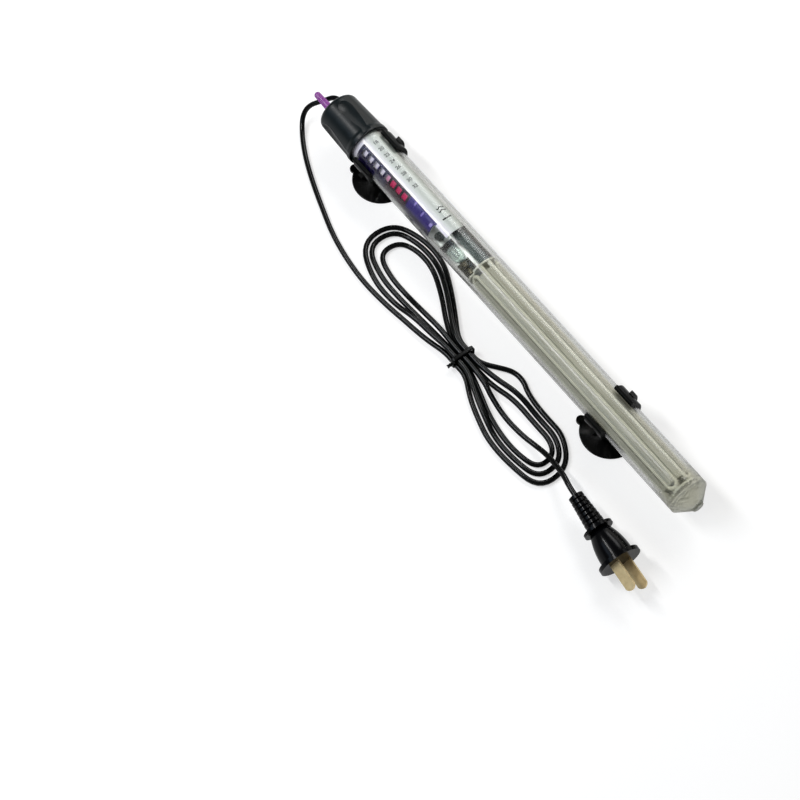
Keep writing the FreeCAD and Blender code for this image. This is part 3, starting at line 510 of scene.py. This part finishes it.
@dataclass(frozen=True)
class Backdrop(Finish):
    """A matt pale floor that the camera sees as white, and that keeps the heater's shadow."""

    lift: float = 0.58
    far_lift: float = 0.9
    near_m: float = 0.9
    far_m: float = 2.2
    bent_share: float = 0.62

    def surface(self, tree: Tree) -> Socket:
        """Adds light of its own for the eye, gloss and glass, and more far off, where the lamps don't reach.

        Args:
            tree: The material's tree.

        Returns:
            The shader.
        """
        path = add_node(tree, "LightPath").outputs
        bent = combined(tree, "MAXIMUM", path["Is Glossy Ray"], path["Is Transmission Ray"])
        seen = combined(tree, "MAXIMUM", path["Is Camera Ray"], combined(tree, "MULTIPLY", bent, self.bent_share))
        away = add_node(tree, "VectorMath", {"operation": "LENGTH", 0: placed(tree)}).outputs["Value"]
        lift = ranged(tree, away, self.near_m, self.far_m, self.lift, self.far_lift)
        strength = combined(tree, "MULTIPLY", seen, lift)
        matt = add_node(tree, "BsdfDiffuse", {"Color": linear(self.colour)}).outputs[0]
        glow = add_node(tree, "Emission", {"Color": (1, 1, 1, 1), "Strength": strength}).outputs[0]
        return add_node(tree, "AddShader", {0: matt, 1: glow}).outputs[0]


# Black ABS, moulded in a fine-textured tool: the cap's soft, bluish sheen.
CAP_ABS = MouldedPlastic("cap ABS, satin moulded", "#010708", 0.34, 1.53, grain_mm=0.45, grain_depth_mm=0.006,
                         mark_colour="#04141a", mark_share=0.6, specular=0.2)
# Violet ABS, moulded in a polished tool: bright, a little glossy.
KNOB_ABS = MouldedPlastic("knob ABS, polished moulded", "#6f2379", 0.28, 1.53, grain_mm=1.2, grain_depth_mm=0.01,
                          mark_colour="#9a4fa8", mark_share=0.6, specular=0.4)
# Black ABS, moulded bright: the clips' crisp small glints.
CLIP_ABS = MouldedPlastic("clip ABS, bright moulded", "#020302", 0.22, 1.53, grain_mm=0.8, grain_depth_mm=0.015,
                          mark_colour="#040505", mark_share=0.5, specular=0.03)
# Black phenolic and ABS inside the glass: matt, nearly black.
INNER_PHENOLIC = MouldedPlastic("thermostat phenolic, moulded", "#040505", 0.5, 1.6, grain_mm=0.7,
                                mark_colour="#0b0e0d", mark_share=0.6, specular=0.06)
# Olive-brown phenolic: the terminal block's dark, warm tone.
BLOCK_PHENOLIC = MouldedPlastic("terminal phenolic, moulded", "#1a180f", 0.5, 1.6, grain_mm=0.7,
                                mark_colour="#323019", mark_share=0.7, specular=0.05)
# Sintered ferrite, ground: black with a cold sheen.
MAGNET_FERRITE = MouldedPlastic("magnet ferrite, ground", "#030707", 0.5, 1.8, grain_mm=0.3,
                                mark_colour="#0f1817", mark_share=0.7, specular=0.05)
# Crimson ABS: the slide's colour in the windows.
SLIDE_ABS = MouldedPlastic("slide ABS, moulded", "#d81e60", 0.35, 1.53, grain_mm=0.9,
                           mark_colour="#b01250", mark_share=0.9, specular=0.25)
# White silicone-coated glass sleeving on the two inner wires.
WIRE_SLEEVE = MouldedPlastic("wire sleeving, braided and coated", "#c9c4b0", 0.6, 1.5, grain_mm=0.6,
                             grain_depth_mm=0.05, mark_colour="#a39e88", mark_share=0.7)
# Moulded PVC plug: glossy black, with handling marks.
PLUG_PVC = MouldedPlastic("plug PVC, moulded", "#020203", 0.2, 1.53, grain_mm=1.4, grain_depth_mm=0.012,
                          mark_colour="#05070a", mark_share=0.6, specular=0.09)
# Silicone of the stopper, the stem's ring and the gland: a dull, soft black.
SEAL_SILICONE = SoftRubber("seal silicone, moulded", "#020303", 0.4, 1.43, mark_share=0.04, specular=0.15)
# Soft PVC of the suction cups: wet-looking black.
CUP_PVC = SoftRubber("cup PVC, moulded soft", "#020202", 0.16, 1.53, mark_share=0.04, specular=0.16)
# Extruded PVC of the cord: black with a narrow bright line along each strand.
CORD_PVC = ExtrudedPvc("cord PVC, extruded", "#020303", 0.18, 1.53, specular=0.17)
# PVC ribbon over soft wire: as black as the cord, with a wider, duller glint.
TIE_PVC = ExtrudedPvc("tie PVC, extruded over wire", "#020303", 0.28, 1.53, specular=0.15)
# Drawn soda-lime glass of the tube: two soft bright lines, grey edges and a hazy worked tip.
TUBE_GLASS = DrawnGlass("tube soda-lime glass, drawn", "#fbfbfa", 0.18, 1.47, worked_from_x=0.15)
# Thin blown glass of the pilot lamp, a little milky with use.
LAMP_GLASS = DrawnGlass("lamp glass, blown", "#eefaf4", 0.02, 1.5, clearness=0.75, streak_mm=2.0, gloss_tint="#ffffff",
                        depth_density=10.0)
# Printed polyester film of the scale: silvery white, with a painted lilac-white highlight and painted shade towards its
# edge, dark violet round the windows.
SCALE_FILM = PrintedFilm("scale film, screen printed", roughness=0.4, ior=1.58, specular=0.12)
# Grey ink of the numbers and black ink of the water mark: thin and worn, so the film shows through.
SCALE_INK = MouldedPlastic("scale ink, screen printed", "#303338", 0.5, 1.5, mark_colour="#6c7074", mark_share=0.7,
                           specular=0.1)
MARK_INK = MouldedPlastic("mark ink, screen printed", "#0c0e12", 0.5, 1.5, mark_colour="#2a2d33", mark_share=0.5,
                          specular=0.1)
# Fired steatite of the core: matt, warm grey with dark drag lines.
CORE_STEATITE = FiredSteatite("core steatite, fired", "#acab9b", 0.8, 1.6, dark="#70705f")
# Fired steatite of the two discs, a little greyer.
DISC_STEATITE = FiredSteatite("disc steatite, fired", "#c6c7ba", 0.8, 1.6, dark="#a3a393")
# Nichrome wire, wound and oxidised by heat: pale, with the faint ribs of its turns and painted shade in the hollows
# between them.
COIL_NICHROME = WoundWire("coil nichrome, wound", "#e2e1d0", 0.7, specular=0.08, dark="#b3b2a0")
# Pressed aluminium sheet of the chassis: a dull, even light grey.
CHASSIS_ALUMINIUM = WorkedMetal("chassis aluminium, pressed", "#d6dad7", 0.62, tarnish="#9da29f")
# Rolled bimetal strip: dark grey-green steel.
STRIP_BIMETAL = WorkedMetal("strip bimetal, rolled", "#4d5554", 0.75, tarnish="#343a39")
# Drawn iron of the lamp's electrodes, blackened: two dark strokes in the pale lamp.
ELECTRODE_IRON = WorkedMetal("electrode iron, drawn", "#16211f", 0.6, tarnish="#0b1211")
# Turned stainless steel of the spindle and bracket: bright, with fine lines.
SPINDLE_STEEL = WorkedMetal("spindle stainless steel, turned", "#b4b4b0", 0.3, tarnish="#7a7a76")
# Nickel-plated screws, dulled by heat: brown-grey dots on the block.
SCREW_NICKEL = WorkedMetal("screw nickel, plated", "#4a473c", 0.6, tarnish="#2c2a22")
# Silver-faced contacts on brass: a small yellow glint.
CONTACT_BRASS = WorkedMetal("contact brass, pressed", "#b9a26a", 0.35, tarnish="#7d6a3f")
# Rolled brass of the plug's blades: pale gold with brown tarnish.
BLADE_BRASS = WorkedMetal("blade brass, rolled", "#ffe9b8", 0.42, tarnish="#8d7238", tarnish_share=0.7)
# Matt paper sweep: white to the eye, with the heater's soft shadow.
FLOOR_PAPER = Backdrop("floor paper, matt", "#b6b6b6")


def dress(finish: Finish, *nodes: str) -> None:
    """Gives CAD nodes their finish.

    Args:
        finish: The finish for all their faces.
        nodes: The nodes' names.
    """
    for node in nodes:
        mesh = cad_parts[node].data
        if not mesh.materials:
            mesh.materials.append(finish.material())
        for index in range(len(mesh.materials)):
            mesh.materials[index] = finish.material()
        log.info("dressed %s in %s", node, finish.name)


def placed_object(name: str, data: bpy.types.ID) -> bpy.types.Object:
    """Makes an object and puts it in the scene.

    Args:
        name: The object's name.
        data: Its mesh, curve, lamp or camera data.

    Returns:
        The object.
    """
    made = bpy.data.objects.new(name, data)
    bpy.context.scene.collection.objects.link(made)
    return made


def piece_from(name: str, mesh: Mesh, finish: Finish, body: str) -> bpy.types.Object:
    """Makes a smooth-shaded piece from a mesh and puts it on a body.

    Args:
        name: The piece's name.
        mesh: The mesh, in the frame's metres. It is freed.
        finish: The piece's finish.
        body: The CAD body that it rides on.

    Returns:
        The piece.
    """
    data = bpy.data.meshes.new(name)
    bmesh.ops.recalc_face_normals(mesh, faces=mesh.faces)
    mesh.to_mesh(data)
    mesh.free()
    data.polygons.foreach_set("use_smooth", [True] * len(data.polygons))
    data.materials.append(finish.material())
    piece = placed_object(name, data)
    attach(piece, body)
    log.info("built %s, %d faces", name, len(data.polygons))
    return piece


def tube_along(mesh: Mesh, path: list[Vector], radius: float, sides: int = 10) -> None:
    """Adds a closed round bar along a path.

    Args:
        mesh: The mesh that gets the bar.
        path: The bar's centre line.
        radius: The bar's radius.
        sides: How many flats go round it.
    """
    rings = []
    side = Vector((0, 0, 1))
    for index, place in enumerate(path):
        before = path[max(0, index - 1)]
        after = path[min(len(path) - 1, index + 1)]
        way = (after - before).normalized()
        if abs(way.dot(side)) > NEARLY_ALONG:
            side = Vector((0, 1, 0))
        first = way.cross(side).normalized()
        second = way.cross(first)
        side = -second
        ring = []
        for step in range(sides):
            angle = 2 * math.pi * step / sides
            ring.append(mesh.verts.new(place + radius * (math.cos(angle) * first + math.sin(angle) * second)))
        rings.append(ring)
    for low, high in zip(rings, rings[1:]):
        for step in range(sides):
            mesh.faces.new((low[step], low[step - 1], high[step - 1], high[step]))
    mesh.faces.new(rings[0])
    mesh.faces.new(list(reversed(rings[-1])))


@dataclass
class StudioCamera:
    """The camera, where the photograph was taken from."""

    position: Point = (0.5177, -0.4677, 1.1913)
    target: Point = (0.0127, -0.0826, 0.0)
    lens: float = 105.5
    sensor: float = 36.0
    nearest: float = 0.05

    def build(self) -> None:
        """Makes the camera and gives it to the scene."""
        data = bpy.data.cameras.new("camera")
        data.lens = self.lens
        data.sensor_width = self.sensor
        data.clip_start = self.nearest
        camera = placed_object("camera", data)
        camera.location = self.position
        way = Vector(self.target) - Vector(self.position)
        camera.rotation_euler = way.to_track_quat("-Z", "Y").to_euler()
        bpy.context.scene.camera = camera


@dataclass
class MainsCord:
    """The mains cord: a free lead, a tied hank of three turns and a short tail to the plug.

    Points are in millimetres. The hank's are counted from its tie, along towards the plug and across towards the
    tube, each with the heading that the cord has there.
    """

    radius: float = 1.6
    tie: Pair = (14.0, -38.0)
    turns: int = 3
    layer_step: float = 3.3
    tie_floor: float = 1.1
    climb_drop: float = 0.5
    half_tie: float = 3.5
    waist_step: float = 1.9
    lead: list[Point] = field(default_factory=lambda: [
        (-161.4, 5.6, 23.5), (-164.7, 5.6, 23.5), (-168.6, 3.9, 21.6), (-171.2, 0.9, 18.8), (-173.9, -2.8, 16.6),
        (-176.8, -6.4, 13.8), (-178.0, -10.0, 9.8), (-176.7, -13.4, 5.4), (-172.3, -17.0, 2.2), (-164.5, -22.0, 1.6),
        (-154.0, -27.6, 1.6), (-138.5, -34.2, 1.6), (-119.0, -41.0, 1.6), (-100.0, -47.2, 1.6), (-81.0, -50.8, 1.6),
        (-62.0, -52.4, 1.6), (-42.1, -51.22, 1.6),
    ])
    tail: list[Point] = field(default_factory=lambda: [
        (36.2, -38.9, 6.0), (44.0, -40.8, 4.0), (59.0, -42.4, 1.6), (74.0, -41.6, 1.6), (84.0, -40.2, 3.2),
        (93.0, -39.9, 6.2), (102.1, -40.9, 9.4), (111.6, -42.7, 12.8), (119.65, -45.43, 14.53), (126.3, -46.2, 14.3),
    ])
    length: float = 1.551

    def layer(self, number: int) -> float:
        """Gives the height of a layer of cord at the tie."""
        return self.tie_floor + self.radius + self.layer_step * number

    def stations(self) -> list[tuple[float, float, float, float]]:
        """Gives the hank's stations, turn by turn: along, across, height and heading.

        Returns:
            The stations in the order that the cord passes them.
        """
        low, high = self.layer(0), self.layer(1)
        climbs = ((self.radius + low) / 2, high - self.climb_drop)
        side = self.waist_step * self.turns
        found = [(-46, -11.8, self.radius, 8), (-28, -9.6, climbs[0], 9), (-self.half_tie, -side, low, 0),
                 (self.half_tie, -side, low, 0)]
        for turn in range(self.turns):
            number = turn % 2
            inward, climb_inward = 3.9 * turn, 3.5 * turn
            here, there = self.layer(number), self.layer(1 - number)
            across = side - self.waist_step * turn
            next_across = self.waist_step * (turn + 1) - side
            reach = 99 - 4.4 * turn - 2 * turn * (turn - 1)
            found += [(30, -15 + climb_inward, climbs[number], -19), (58 + 1.5 * turn, -21 + inward, self.radius, 0),
                      (92 - 5.4 * turn, -6.5 + 1.65 * turn, self.radius, 90),
                      (65 + 1.5 * turn, 14.8 - inward, self.radius, 181)]
            if turn == 0:
                found += [(44, 15.8, self.radius, 172), (29, 18.9, self.radius, 184), (13.5, 10, climbs[0], 218)]
            else:
                found += [(30, 11.4 - climb_inward, climbs[number], 196)]
            found += [(self.half_tie, across, here, 180), (-self.half_tie, across, here, 180),
                      (-32, 18.4 - climb_inward, climbs[number], 150), (-69, 32 - inward, self.radius, 180),
                      (-reach, 13.5 - turn / 2, self.radius, 270), (-62, -9 + 4.7 * turn, self.radius, 360),
                      (-29, -5.9 + 3.2 * turn, climbs[1 - number], 364), (-self.half_tie, next_across, there, 360),
                      (self.half_tie, next_across, there, 360)]
        found.append((12, -0.2, self.layer(self.turns % 2), -4))
        return found

    def route(self) -> list[Point]:
        """Gives the cord's control points from the gland to the plug, in millimetres.

        Each station of the hank has a point before it and one after it, on its heading, so that the line passes
        through the station.

        Returns:
            The points in the cord's order.
        """
        points = list(self.lead)
        stations = self.stations()
        for (x0, y0, z0, way0), (x1, y1, z1, way1) in zip(stations, stations[1:]):
            chord = math.dist((x0, y0, z0), (x1, y1, z1))
            turn = math.radians((way1 - way0 + 180) % 360 - 180)
            leg = chord / (4 * math.cos(turn / 4) ** 2)
            first, last = math.radians(way0), math.radians(way1)
            points.append((self.tie[0] + x0 + leg * math.cos(first), self.tie[1] + y0 + leg * math.sin(first), z0))
            points.append((self.tie[0] + x1 - leg * math.cos(last), self.tie[1] + y1 - leg * math.sin(last), z1))
        return points + self.tail

    def build(self, tie: bpy.types.Object) -> None:
        """Makes the cord as one smooth curve in place of its CAD solids.

        Args:
            tie: The tie that holds the hank.
        """
        points = self.route()
        data = bpy.data.curves.new("mains_cord", "CURVE")
        data.dimensions = "3D"
        data.bevel_depth = self.radius * MM
        data.bevel_resolution = 5
        data.resolution_u = 6
        data.use_fill_caps = True
        spline = data.splines.new("NURBS")
        spline.points.add(len(points) - 1)
        for target, place in zip(spline.points, points):
            target.co = (*(value * MM for value in place), 1.0)
        spline.order_u = 3
        spline.use_endpoint_u = True
        data.materials.append(CORD_PVC.material())
        cord = placed_object("mains_cord", data)
        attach(cord, "heater")
        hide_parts("cord_lead", "cord_hank", "cord_tail")
        log.info("built mains_cord, %d control points", len(points))


@dataclass
class TwistTie:
    """The covered wire that holds the hank: a ribbed band round the strands, and its two ends twisted together.

    The profile's points are shares of the band's width across it, and of its thickness in from its outer face.
    """

    x_mm: float = 14.0
    y_mm: float = -38.0
    half_span_mm: float = 8.0
    top_mm: float = 8.7
    corner_mm: float = 2.2
    corner_steps: int = 8
    width_mm: float = 2.6
    thickness_mm: float = 0.8
    side_slack_mm: float = 0.01
    lean: float = 0.1
    profile: tuple[Pair, ...] = ((-0.5, 0.35), (-0.42, 0.0), (-0.16, 0.12), (0.0, 0.0), (0.16, 0.12),
                                 (0.42, 0.0), (0.5, 0.35), (0.42, 1.0), (-0.42, 1.0))
    end_radius_mm: float = 0.55
    end_orbit_mm: float = 0.62
    end_start_mm: float = 0.4
    end_length_mm: float = 3.2
    end_steps: int = 24

    def outline(self) -> list[Pair]:
        """Gives the band's outer outline across the hank.

        Returns:
            Places and heights in millimetres, corner by corner.
        """
        found = []
        for side, up, start in ((1, 0, 270), (1, 1, 0), (-1, 1, 90), (-1, 0, 180)):
            centre_y = side * (self.half_span_mm - self.corner_mm)
            centre_z = self.corner_mm if up == 0 else self.top_mm - self.corner_mm
            for step in range(self.corner_steps + 1):
                angle = math.radians(start + 90 * step / self.corner_steps)
                found.append((centre_y + self.corner_mm * math.cos(angle), centre_z + self.corner_mm * math.sin(angle)))
        return found

    def build_band(self, mesh: Mesh) -> None:
        """Adds the band, with its profile turned inwards all round the outline.

        Args:
            mesh: The mesh that gets the band.
        """
        rings = []
        middle = Vector((0, self.top_mm / 2))
        for y, z in self.outline():
            inward = middle - Vector((y, z))
            on_side = abs(y) > self.half_span_mm - self.side_slack_mm
            inward = Vector((math.copysign(1, inward.x) if on_side else inward.x * self.lean, inward.y)).normalized()
            ring = []
            for share, depth in self.profile:
                shift = inward * depth * self.thickness_mm
                ring.append(mesh.verts.new(((self.x_mm + share * self.width_mm) * MM,
                                            (self.y_mm + y + shift.x) * MM, (z + shift.y) * MM)))
            rings.append(ring)
        for low, high in zip(rings, rings[1:] + rings[:1]):
            for step in range(len(self.profile)):
                mesh.faces.new((low[step - 1], low[step], high[step], high[step - 1]))

    def build(self) -> bpy.types.Object:
        """Makes the tie in place of its CAD solid.

        Returns:
            The tie.
        """
        mesh = bmesh.new()
        self.build_band(mesh)
        for strand in (0, 1):
            path = []
            for step in range(self.end_steps + 1):
                share = step / self.end_steps
                angle = math.pi * strand + 2 * math.pi * share
                path.append(Vector(((self.x_mm + self.end_orbit_mm * math.cos(angle)) * MM,
                                    (self.y_mm - self.half_span_mm + self.end_start_mm
                                     - self.end_length_mm * share) * MM,
                                    (self.top_mm / 2 + self.end_orbit_mm * math.sin(angle)) * MM)))
            tube_along(mesh, path, self.end_radius_mm * MM)
        tie = piece_from("hank_tie", mesh, TIE_PVC, "heater")
        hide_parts("twist_tie")
        return tie


@dataclass
class PlugAssembly:
    """The moulded plug with its ribbed strain relief and two flat blades."""

    def build(self) -> None:
        """Dresses the plug's CAD nodes."""
        dress(PLUG_PVC, "plug_strain_relief", "plug_body")
        dress(BLADE_BRASS, "plug_blades")


@dataclass
class HeadAssembly:
    """The cap with the knob, the cord's gland and the stopper."""

    def build(self) -> None:
        """Dresses the head's CAD nodes."""
        dress(CAP_ABS, "head_cap")
        dress(KNOB_ABS, "control_knob")
        dress(SEAL_SILICONE, "cord_gland", "stem_seal", "seal_stopper")
        dress(SPINDLE_STEEL, "adjusting_spindle")


@dataclass
class ScaleAssembly:
    """The printed scale behind the glass, its numbers and water mark, and the slide that shows in its windows.

    The water mark is a bar and two waves. Angles are degrees from the direction that the chassis faces.
    """

    ink_radius_mm: float = 11.03
    first_window_x_mm: float = -118.9
    window_pitch_mm: float = 5.5
    first_number: int = 18
    number_step: int = 2
    number_count: int = 8
    number_size_mm: float = 3.22
    number_weight_mm: float = 0.07
    number_angle: float = 20.0
    bar_x_mm: float = -51.9
    bar_angles: Pair = (12.0, 42.0)
    bar_width_mm: float = 1.0
    bar_steps: int = 8
    waves_x_mm: Pair = (-60.0, -57.6)
    wave_angles: Pair = (18.0, 44.0)
    wave_width_mm: float = 0.9
    wave_height_mm: float = 0.5
    wave_steps: int = 24

    def on_card(self, along_mm: float, degrees: float) -> Vector:
        """Gives a place on the bent card.

        Args:
            along_mm: How far along the tube it is.
            degrees: Its angle from the direction that the chassis faces.

        Returns:
            The place.
        """
        angle = math.radians(degrees - CHASSIS_TURN)
        radius = self.ink_radius_mm * MM
        return Vector((along_mm * MM, radius * math.sin(angle), AXIS_HEIGHT + radius * math.cos(angle)))

    def add_number(self, text: str, mesh: Mesh, x_mm: float) -> None:
        """Adds one number, bent to the card.

        Args:
            text: The number's digits.
            mesh: The mesh that gets it.
            x_mm: The number's middle along the tube.
        """
        data = bpy.data.curves.new("digits", "FONT")
        data.body = text
        data.size = self.number_size_mm
        data.align_x = "CENTER"
        data.align_y = "CENTER"
        data.resolution_u = 3
        data.offset = self.number_weight_mm
        source = placed_object("digits", data)
        bpy.context.view_layer.update()
        flat = bpy.data.meshes.new_from_object(source.evaluated_get(bpy.context.evaluated_depsgraph_get()))
        start = len(mesh.verts)
        mesh.from_mesh(flat)
        mesh.verts.ensure_lookup_table()
        for vertex in mesh.verts[start:]:
            across = math.degrees(vertex.co.x / self.ink_radius_mm)
            vertex.co = self.on_card(x_mm - vertex.co.y, self.number_angle + across)
        bpy.data.objects.remove(source)
        bpy.data.curves.remove(data)
        bpy.data.meshes.remove(flat)

    def add_line(self, mesh: Mesh, x_mm: float, angles: Pair, width_mm: float,
                 steps: int, wave_mm: float = 0.0) -> None:
        """Adds a printed line across the card, straight or in a wave and a half.

        Args:
            mesh: The mesh that gets the line.
            x_mm: The line's place along the tube.
            angles: The line's first and last angle.
            width_mm: The line's width.
            steps: How many faces it has.
            wave_mm: How far the wave leaves the line.
        """
        first, last = angles
        sides = []
        for step in range(steps + 1):
            share = step / steps
            degrees = first + (last - first) * share
            middle = x_mm + wave_mm * math.sin(share * 3 * math.pi)
            sides.append((mesh.verts.new(self.on_card(middle - width_mm / 2, degrees)),
                          mesh.verts.new(self.on_card(middle + width_mm / 2, degrees))))
        for (low, high), (next_low, next_high) in zip(sides, sides[1:]):
            mesh.faces.new((low, next_low, next_high, high))

    def build(self) -> None:
        """Dresses the scale's nodes and prints its numbers and water mark."""
        dress(SCALE_FILM, "scale_card")
        dress(SLIDE_ABS, "indicator_slide")
        numbers = bmesh.new()
        for index in range(self.number_count):
            x_mm = self.first_window_x_mm + self.window_pitch_mm * index
            self.add_number(str(self.first_number + self.number_step * index), numbers, x_mm)
        piece_from("scale_numbers", numbers, SCALE_INK, "heater")
        mark = bmesh.new()
        self.add_line(mark, self.bar_x_mm, self.bar_angles, self.bar_width_mm, self.bar_steps)
        for x_mm in self.waves_x_mm:
            self.add_line(mark, x_mm, self.wave_angles, self.wave_width_mm, self.wave_steps, self.wave_height_mm)
        piece_from("water_mark", mark, MARK_INK, "heater")


@dataclass
class ThermostatAssembly:
    """The chassis with the thermostat, the pilot lamp and the terminal block.

    The electrodes' places are counted across the chassis and out from the tube's axis.
    """

    first_x_mm: float = -38.7
    step_mm: float = 0.7
    step_count: int = 10
    side_mm: float = -5.3
    out_mm: float = 2.0
    half_gap_mm: float = 1.1
    lean: float = 0.03
    wire_radius_mm: float = 0.5

    def inside(self, along_mm: float, side_mm: float) -> Vector:
        """Gives a place on the electrodes' level.

        Args:
            along_mm: How far along the tube it is.
            side_mm: How far across the chassis it is.

        Returns:
            The place.
        """
        turn = Matrix.Rotation(math.radians(CHASSIS_TURN), 3, "X")
        level = turn @ Vector((0, side_mm, self.out_mm)) * MM
        return Vector((along_mm, 0, 0)) * MM + level + Vector((0, 0, AXIS_HEIGHT))

    def build_electrodes(self) -> None:
        """Makes the two electrodes inside the pilot lamp, which lean towards each other."""
        mesh = bmesh.new()
        for side in (-self.half_gap_mm, self.half_gap_mm):
            path = [self.inside(self.first_x_mm + step * self.step_mm, self.side_mm + side * (1 - self.lean * step))
                    for step in range(self.step_count + 1)]
            tube_along(mesh, path, self.wire_radius_mm * MM)
        piece_from("lamp_electrodes", mesh, ELECTRODE_IRON, "heater")

    def build(self) -> None:
        """Dresses the thermostat's nodes and adds the lamp's electrodes."""
        dress(CHASSIS_ALUMINIUM, "chassis")
        dress(SPINDLE_STEEL, "spindle_bracket")
        dress(INNER_PHENOLIC, "thermostat_base", "lamp_bar")
        dress(STRIP_BIMETAL, "bimetal_strip")
        dress(CONTACT_BRASS, "contact_pair")
        dress(MAGNET_FERRITE, "switch_magnet")
        dress(LAMP_GLASS, "pilot_lamp")
        dress(BLOCK_PHENOLIC, "terminal_block")
        dress(SCREW_NICKEL, "terminal_screws")
        dress(WIRE_SLEEVE, "supply_wires")
        self.build_electrodes()


@dataclass
class HeatingAssembly:
    """The fluted ceramic core with its coils and discs, and the glass round it all."""

    def build(self) -> None:
        """Dresses the core, the coils, the discs and the glass."""
        dress(CORE_STEATITE, "heater_core")
        dress(COIL_NICHROME, "heater_coils")
        dress(DISC_STEATITE, "core_disc_upper", "core_disc_lower")
        dress(TUBE_GLASS, "glass_tube")


@dataclass
class HolderSet:
    """The two clips and their suction cups."""

    def build(self) -> None:
        """Dresses the clips and the cups."""
        dress(CLIP_ABS, "holder_clip_upper", "holder_clip_lower")
        dress(CUP_PVC, "suction_cup_upper", "suction_cup_lower")


class Lamp(Enum):
    """The studio's lamps: place, size along and across, power and colour."""

    KEY = ((-0.456, -0.54, 0.99), (0.72, 0.09), 9.0, "#ffffff")
    SIDE = ((-0.485, 0.68, 1.0), (0.74, 0.36), 6.6, "#ffffff")
    FILL = ((-0.40, -1.0, 0.84), (0.9, 0.42), 2.4, "#c8e2ff")
    RIM = ((-0.42, 0.95, 0.45), (0.95, 0.5), 2.7, "#fffaf2")


@dataclass
class Studio:
    """The floor, the lamps and the light all round."""

    floor_half: float = 12.0
    world_strength: float = 0.22
    gloss_share: float = 0.3
    horizon: Pair = (0.02, 0.12)
    aim: Point = (0.0, 0.0, 0.02)

    def build_floor(self) -> None:
        """Makes the floor as one wide sheet."""
        mesh = bmesh.new()
        half = self.floor_half
        corners = ((-half, -half), (half, -half), (half, half), (-half, half))
        mesh.faces.new([mesh.verts.new((x, y, 0.0)) for x, y in corners])
        data = bpy.data.meshes.new("floor")
        mesh.to_mesh(data)
        mesh.free()
        data.materials.append(FLOOR_PAPER.material())
        placed_object("floor", data)

    def build_lamps(self) -> None:
        """Makes the lamps, each turned to the heater with its long side along X."""
        for lamp in Lamp:
            place, size, power, colour = lamp.value
            data = bpy.data.lights.new(lamp.name.lower(), "AREA")
            data.shape = "RECTANGLE"
            data.size, data.size_y = size
            data.energy = power
            data.color = linear(colour)[:3]
            light = placed_object(lamp.name.lower(), data)
            light.location = place
            back = (Vector(place) - Vector(self.aim)).normalized()
            across = back.cross(Vector((1, 0, 0))).normalized()
            along = across.cross(back)
            light.rotation_euler = Matrix((along, across, back)).transposed().to_euler()

    def build_world(self) -> None:
        """Makes the even light all round, white to the eye and through glass, and in gloss near the horizon."""
        world = bpy.data.worlds.new("studio")
        world.use_nodes = True
        tree = world.node_tree
        tree.nodes.clear()
        path = add_node(tree, "LightPath").outputs
        way = add_node(tree, "TexCoord").outputs["Generated"]
        height = add_node(tree, "SeparateXYZ", {0: way}).outputs[2]
        low = ranged(tree, height, *self.horizon, 1.0, 0.0)
        gloss = combined(tree, "MULTIPLY", combined(tree, "MULTIPLY", path["Is Glossy Ray"], low), self.gloss_share)
        seen = combined(tree, "MAXIMUM", path["Is Camera Ray"], path["Is Transmission Ray"])
        seen = combined(tree, "MAXIMUM", seen, gloss)
        strength = ranged(tree, seen, 0.0, 1.0, self.world_strength, 1.0)
        glow = add_node(tree, "Background", {"Color": (1, 1, 1, 1), "Strength": strength}).outputs[0]
        add_node(tree, "OutputWorld", {"Surface": glow})
        bpy.context.scene.world = world

    def build(self) -> None:
        """Builds the whole studio."""
        self.build_floor()
        self.build_lamps()
        self.build_world()
        bpy.context.scene.view_settings.view_transform = "Standard"


def main() -> None:
    """Builds the heater's looks and the studio round it."""
    logging.basicConfig(level=logging.INFO, format="%(name)s: %(message)s")
    StudioCamera().build()
    MainsCord().build(TwistTie().build())
    for assembly in (PlugAssembly, HeadAssembly, ScaleAssembly, ThermostatAssembly, HeatingAssembly, HolderSet, Studio):
        assembly().build()


if __name__ == "__main__":
    main()
